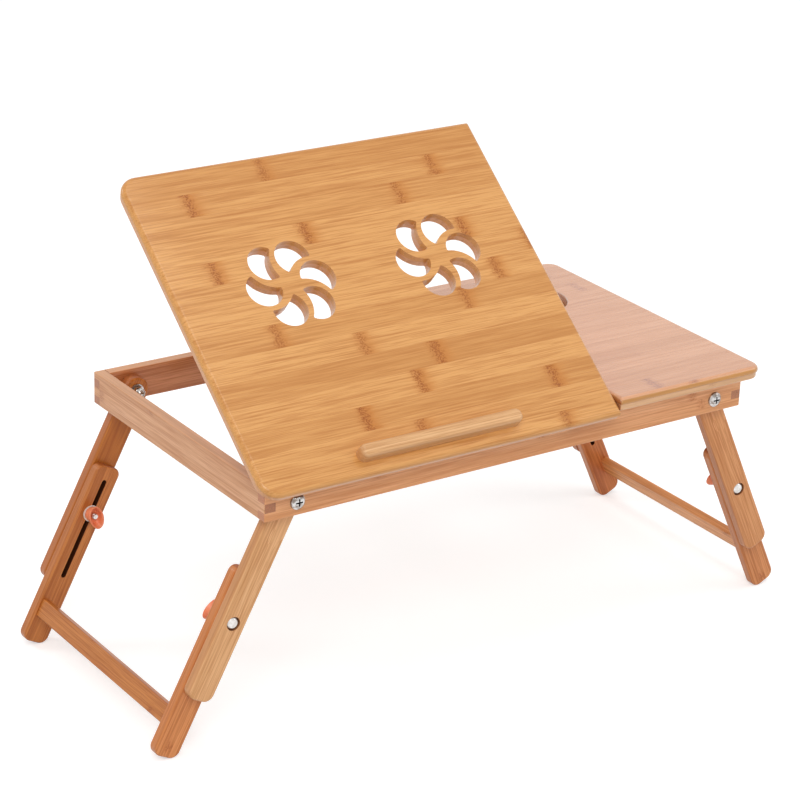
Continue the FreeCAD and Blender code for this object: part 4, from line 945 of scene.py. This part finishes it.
def makeScrewShape(settings):
    maker = bmesh.new()
    head, shank, corners = settings["headRadius"], settings["shankRadius"], settings["corners"]
    tipHeight = -settings["headHeight"] - settings["shankLength"]
    rim = ring(maker, head, 0.0, corners)
    crown = ring(maker, head * settings["crownRadius"], settings["domeHeight"], corners)
    neck = ring(maker, shank, -settings["headHeight"], corners)
    tip = ring(maker, shank * settings["tipRadius"], tipHeight, corners)
    wallBetween(maker, rim, crown)
    wallBetween(maker, neck, rim)
    wallBetween(maker, tip, neck)
    maker.faces.new(list(reversed(tip)))
    half, reach = settings["slotHalfWidth"], settings["slotReach"]
    floorHalf, floorReach = settings["slotFloor"]
    mouth = crossOutline(maker, half, reach, settings["domeHeight"])
    foot = crossOutline(maker, half * floorHalf, reach * floorReach, -settings["slotDepth"])
    edges = [maker.edges.new(pair) for pair in nextOnes(mouth)]
    edges += [maker.edges.get(pair) for pair in nextOnes(crown)]
    bmesh.ops.triangle_fill(maker, use_beauty=True, edges=edges)
    wallBetween(maker, foot, mouth)
    maker.faces.new(foot)
    bmesh.ops.recalc_face_normals(maker, faces=maker.faces)
    mesh = bpy.data.meshes.new("screwShape")
    maker.to_mesh(mesh)
    maker.free()
    return addObject("screwShape", mesh)


def makeScrewTree(settings):
    tree, sockets = newTree("screwsOnPoints", {
        "Shape": ("NodeSocketObject", None),
        "Material": ("NodeSocketMaterial", None),
        "Turn spread": ("NodeSocketFloat", settings["turnSpread"]),
        "Seed": ("NodeSocketInt", settings["seed"]),
    })
    entry = put(tree, "NodeGroupInput").outputs
    shape = put(tree, "GeometryNodeObjectInfo", {"Object": entry["Shape"]}).outputs["Geometry"]
    spinSockets = {2: 0.0, 3: entry["Turn spread"], "Seed": entry["Seed"]}
    spin = put(tree, "FunctionNodeRandomValue", spinSockets, data_type="FLOAT").outputs[1]
    ownTurn = put(tree, "FunctionNodeAxisAngleToRotation", {"Axis": upright, "Angle": spin}).outputs[0]
    turnSockets = {0: facingTurn(tree), 1: ownTurn}
    turned = put(tree, "FunctionNodeRotateRotation", turnSockets, rotation_space="LOCAL").outputs[0]
    placeEach(tree, entry, shape, turned)
    return tree, sockets


def headFacing(solid, line, endBand):
    # a screw faces one way or the other along its line: its head is the wider end
    middle = sum(solid, Vector()) / len(solid)
    widths = []
    for direction in (line, -line):
        end = max(solid, key=lambda point: point.dot(direction))
        near = [point - middle for point in solid if abs((point - end).dot(line)) < endBand]
        widths.append(max((point - line * point.dot(line)).length for point in near))
    return line if widths[0] > widths[1] else -line


def headPlace(solid, facing, topBand):
    # the middle of a screw's head: the points that reach furthest the way it faces
    furthest = max(point.dot(facing) for point in solid)
    low, high = cornersOf([point for point in solid if point.dot(facing) > furthest - topBand])
    return (low + high) / 2


def makeScrews(name, shape, tree, sockets, settings):
    node, body, line = screwPlaces[name]
    solids = solidsOf(node)
    directions = [headFacing(solid, line, settings["endBand"]) for solid in solids]
    places = []
    for solid, facing in zip(solids, directions):
        top = headPlace(solid, facing, settings["topBand"])
        places.append(top - facing * settings["sunk"])
    points = facingPoints(name + "Points", places, directions)
    piece = growPiece(name, points, tree, sockets, {"Shape": shape, "Material": screwZinc})
    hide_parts(node)
    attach(piece, body)


screwShape = makeScrewShape(screwSettings)
screwTree, screwSockets = makeScrewTree(screwSettings)
for name in screwPlaces:
    makeScrews(name, screwShape, screwTree, screwSockets, screwSettings)
bpy.data.objects.remove(screwShape)
print("bed table: screws set")


# threads on the tips of the clamp bolts

threadSettings = {
    "radius": 0.00200,
    "ridge": 0.00016,
    "pitch": 0.0008,
    "length": 0.0034,
    "inset": 0.0003,
    "turnSteps": 28,
    "ridgeCorners": 5,
}
tableMiddle = (Vector(cadBox[0]) + Vector(cadBox[1])) / 2


def makeThreadTree(settings):
    tree, sockets = newTree("boltThread", {
        "Radius": ("NodeSocketFloat", settings["radius"]),
        "Ridge": ("NodeSocketFloat", settings["ridge"]),
        "Turns": ("NodeSocketFloat", settings["length"] / settings["pitch"]),
        "Length": ("NodeSocketFloat", settings["length"]),
        "Material": ("NodeSocketMaterial", None),
    })
    entry = put(tree, "NodeGroupInput").outputs
    helix = put(tree, "GeometryNodeCurveSpiral", {
        "Resolution": settings["turnSteps"], "Rotations": entry["Turns"], "Start Radius": entry["Radius"],
        "End Radius": entry["Radius"], "Height": entry["Length"],
    }).outputs[0]
    circleSockets = {"Resolution": settings["ridgeCorners"], "Radius": entry["Ridge"]}
    profile = put(tree, "GeometryNodeCurvePrimitiveCircle", circleSockets).outputs[0]
    ridgeSockets = {"Curve": helix, "Profile Curve": profile, "Fill Caps": True}
    ridge = put(tree, "GeometryNodeCurveToMesh", ridgeSockets).outputs[0]
    placeEach(tree, entry, ridge, facingTurn(tree))
    return tree, sockets


def makeThreads(side, tree, sockets, settings):
    places, directions = [], []
    reach = settings["length"] + settings["inset"]
    for solid in solidsOf(f"{side}_clamp_bolts"):
        low, high = cornersOf(solid)
        middle = (low + high) / 2
        inward = 1.0 if middle.y < tableMiddle.y else -1.0
        tip = high.y if inward > 0 else low.y
        places.append((middle.x, tip - inward * reach, middle.z))
        directions.append((0.0, inward, 0.0))
    points = facingPoints(f"{side}ThreadStarts", places, directions)
    piece = growPiece(f"{side}BoltThreads", points, tree, sockets, {
        "Radius": settings["radius"], "Ridge": settings["ridge"], "Length": settings["length"],
        "Turns": settings["length"] / settings["pitch"], "Material": clampZinc,
    })
    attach(piece, f"{side}_upper_legs")


threadTree, threadSockets = makeThreadTree(threadSettings)
for side in ("left", "right"):
    makeThreads(side, threadTree, threadSockets, threadSettings)
print("bed table: bolt threads cut")


# thumb nuts: flared oval cups with a rounded rim

nutSettings = {
    "corners": 56,
    # half length, half width and height of each ring, from the foot up the outside, over the rim and down
    # inside to the bore, which the bolt fits
    "rings": [
        (0.0062, 0.0060, 0.0000), (0.0066, 0.0062, 0.0004), (0.0066, 0.0060, 0.0022),
        (0.0069, 0.0058, 0.0040), (0.0079, 0.0060, 0.0058), (0.0093, 0.0063, 0.0075),
        (0.0103, 0.0064, 0.0087), (0.0108, 0.0065, 0.0094), (0.0109, 0.0064, 0.0098),
        (0.0106, 0.0061, 0.0100), (0.0099, 0.0054, 0.0099), (0.0094, 0.0049, 0.0093),
        (0.0085, 0.0046, 0.0080), (0.0070, 0.0044, 0.0064), (0.0060, 0.0042, 0.0052),
        (0.0052, 0.0038, 0.0047), (0.00206, 0.00206, 0.0047), (0.00206, 0.00206, 0.0000),
    ],
}


def nutAxis(node, centre):
    # the direction of the nut's long axis in the CAD, across the bolt
    points = [vertex.co - centre for vertex in nodes[node].data.vertices]
    away = np.array([(point.x, point.z) for point in points])
    strengths, directions = np.linalg.eigh(away.T @ away)
    long = directions[:, int(np.argmax(strengths))]
    return Vector((long[0], 0.0, long[1])).normalized()


def makeThumbNut(side, place, settings):
    node = f"{side}_{place}_thumb_nut"
    low, high = (Vector(corner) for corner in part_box(node))
    centre = (low + high) / 2
    outward = Vector((0.0, 1.0, 0.0)) if place == "front" else Vector((0.0, -1.0, 0.0))
    base = centre.copy()
    base.y = low.y if place == "front" else high.y
    long = nutAxis(node, centre)
    short = outward.cross(long)
    maker = bmesh.new()
    loops = []
    for halfLength, halfWidth, height in settings["rings"]:
        loop = []
        for step in range(settings["corners"]):
            angle = 2 * math.pi * step / settings["corners"]
            spot = base + long * (halfLength * math.cos(angle)) + short * (halfWidth * math.sin(angle))
            loop.append(maker.verts.new(spot + outward * height))
        loops.append(loop)
    for one, two in nextOnes(loops):
        wallBetween(maker, one, two)
    bmesh.ops.recalc_face_normals(maker, faces=maker.faces)
    for face in maker.faces:
        face.smooth = True
    mesh = bpy.data.meshes.new(node)
    maker.to_mesh(mesh)
    maker.free()
    mesh.materials.append(orange)
    piece = addObject(f"{side}{place.title()}ThumbNut", mesh)
    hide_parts(node)
    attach(piece, node)


for side in ("left", "right"):
    for place in ("front", "rear"):
        makeThumbNut(side, place, nutSettings)
print("bed table: thumb nuts made")
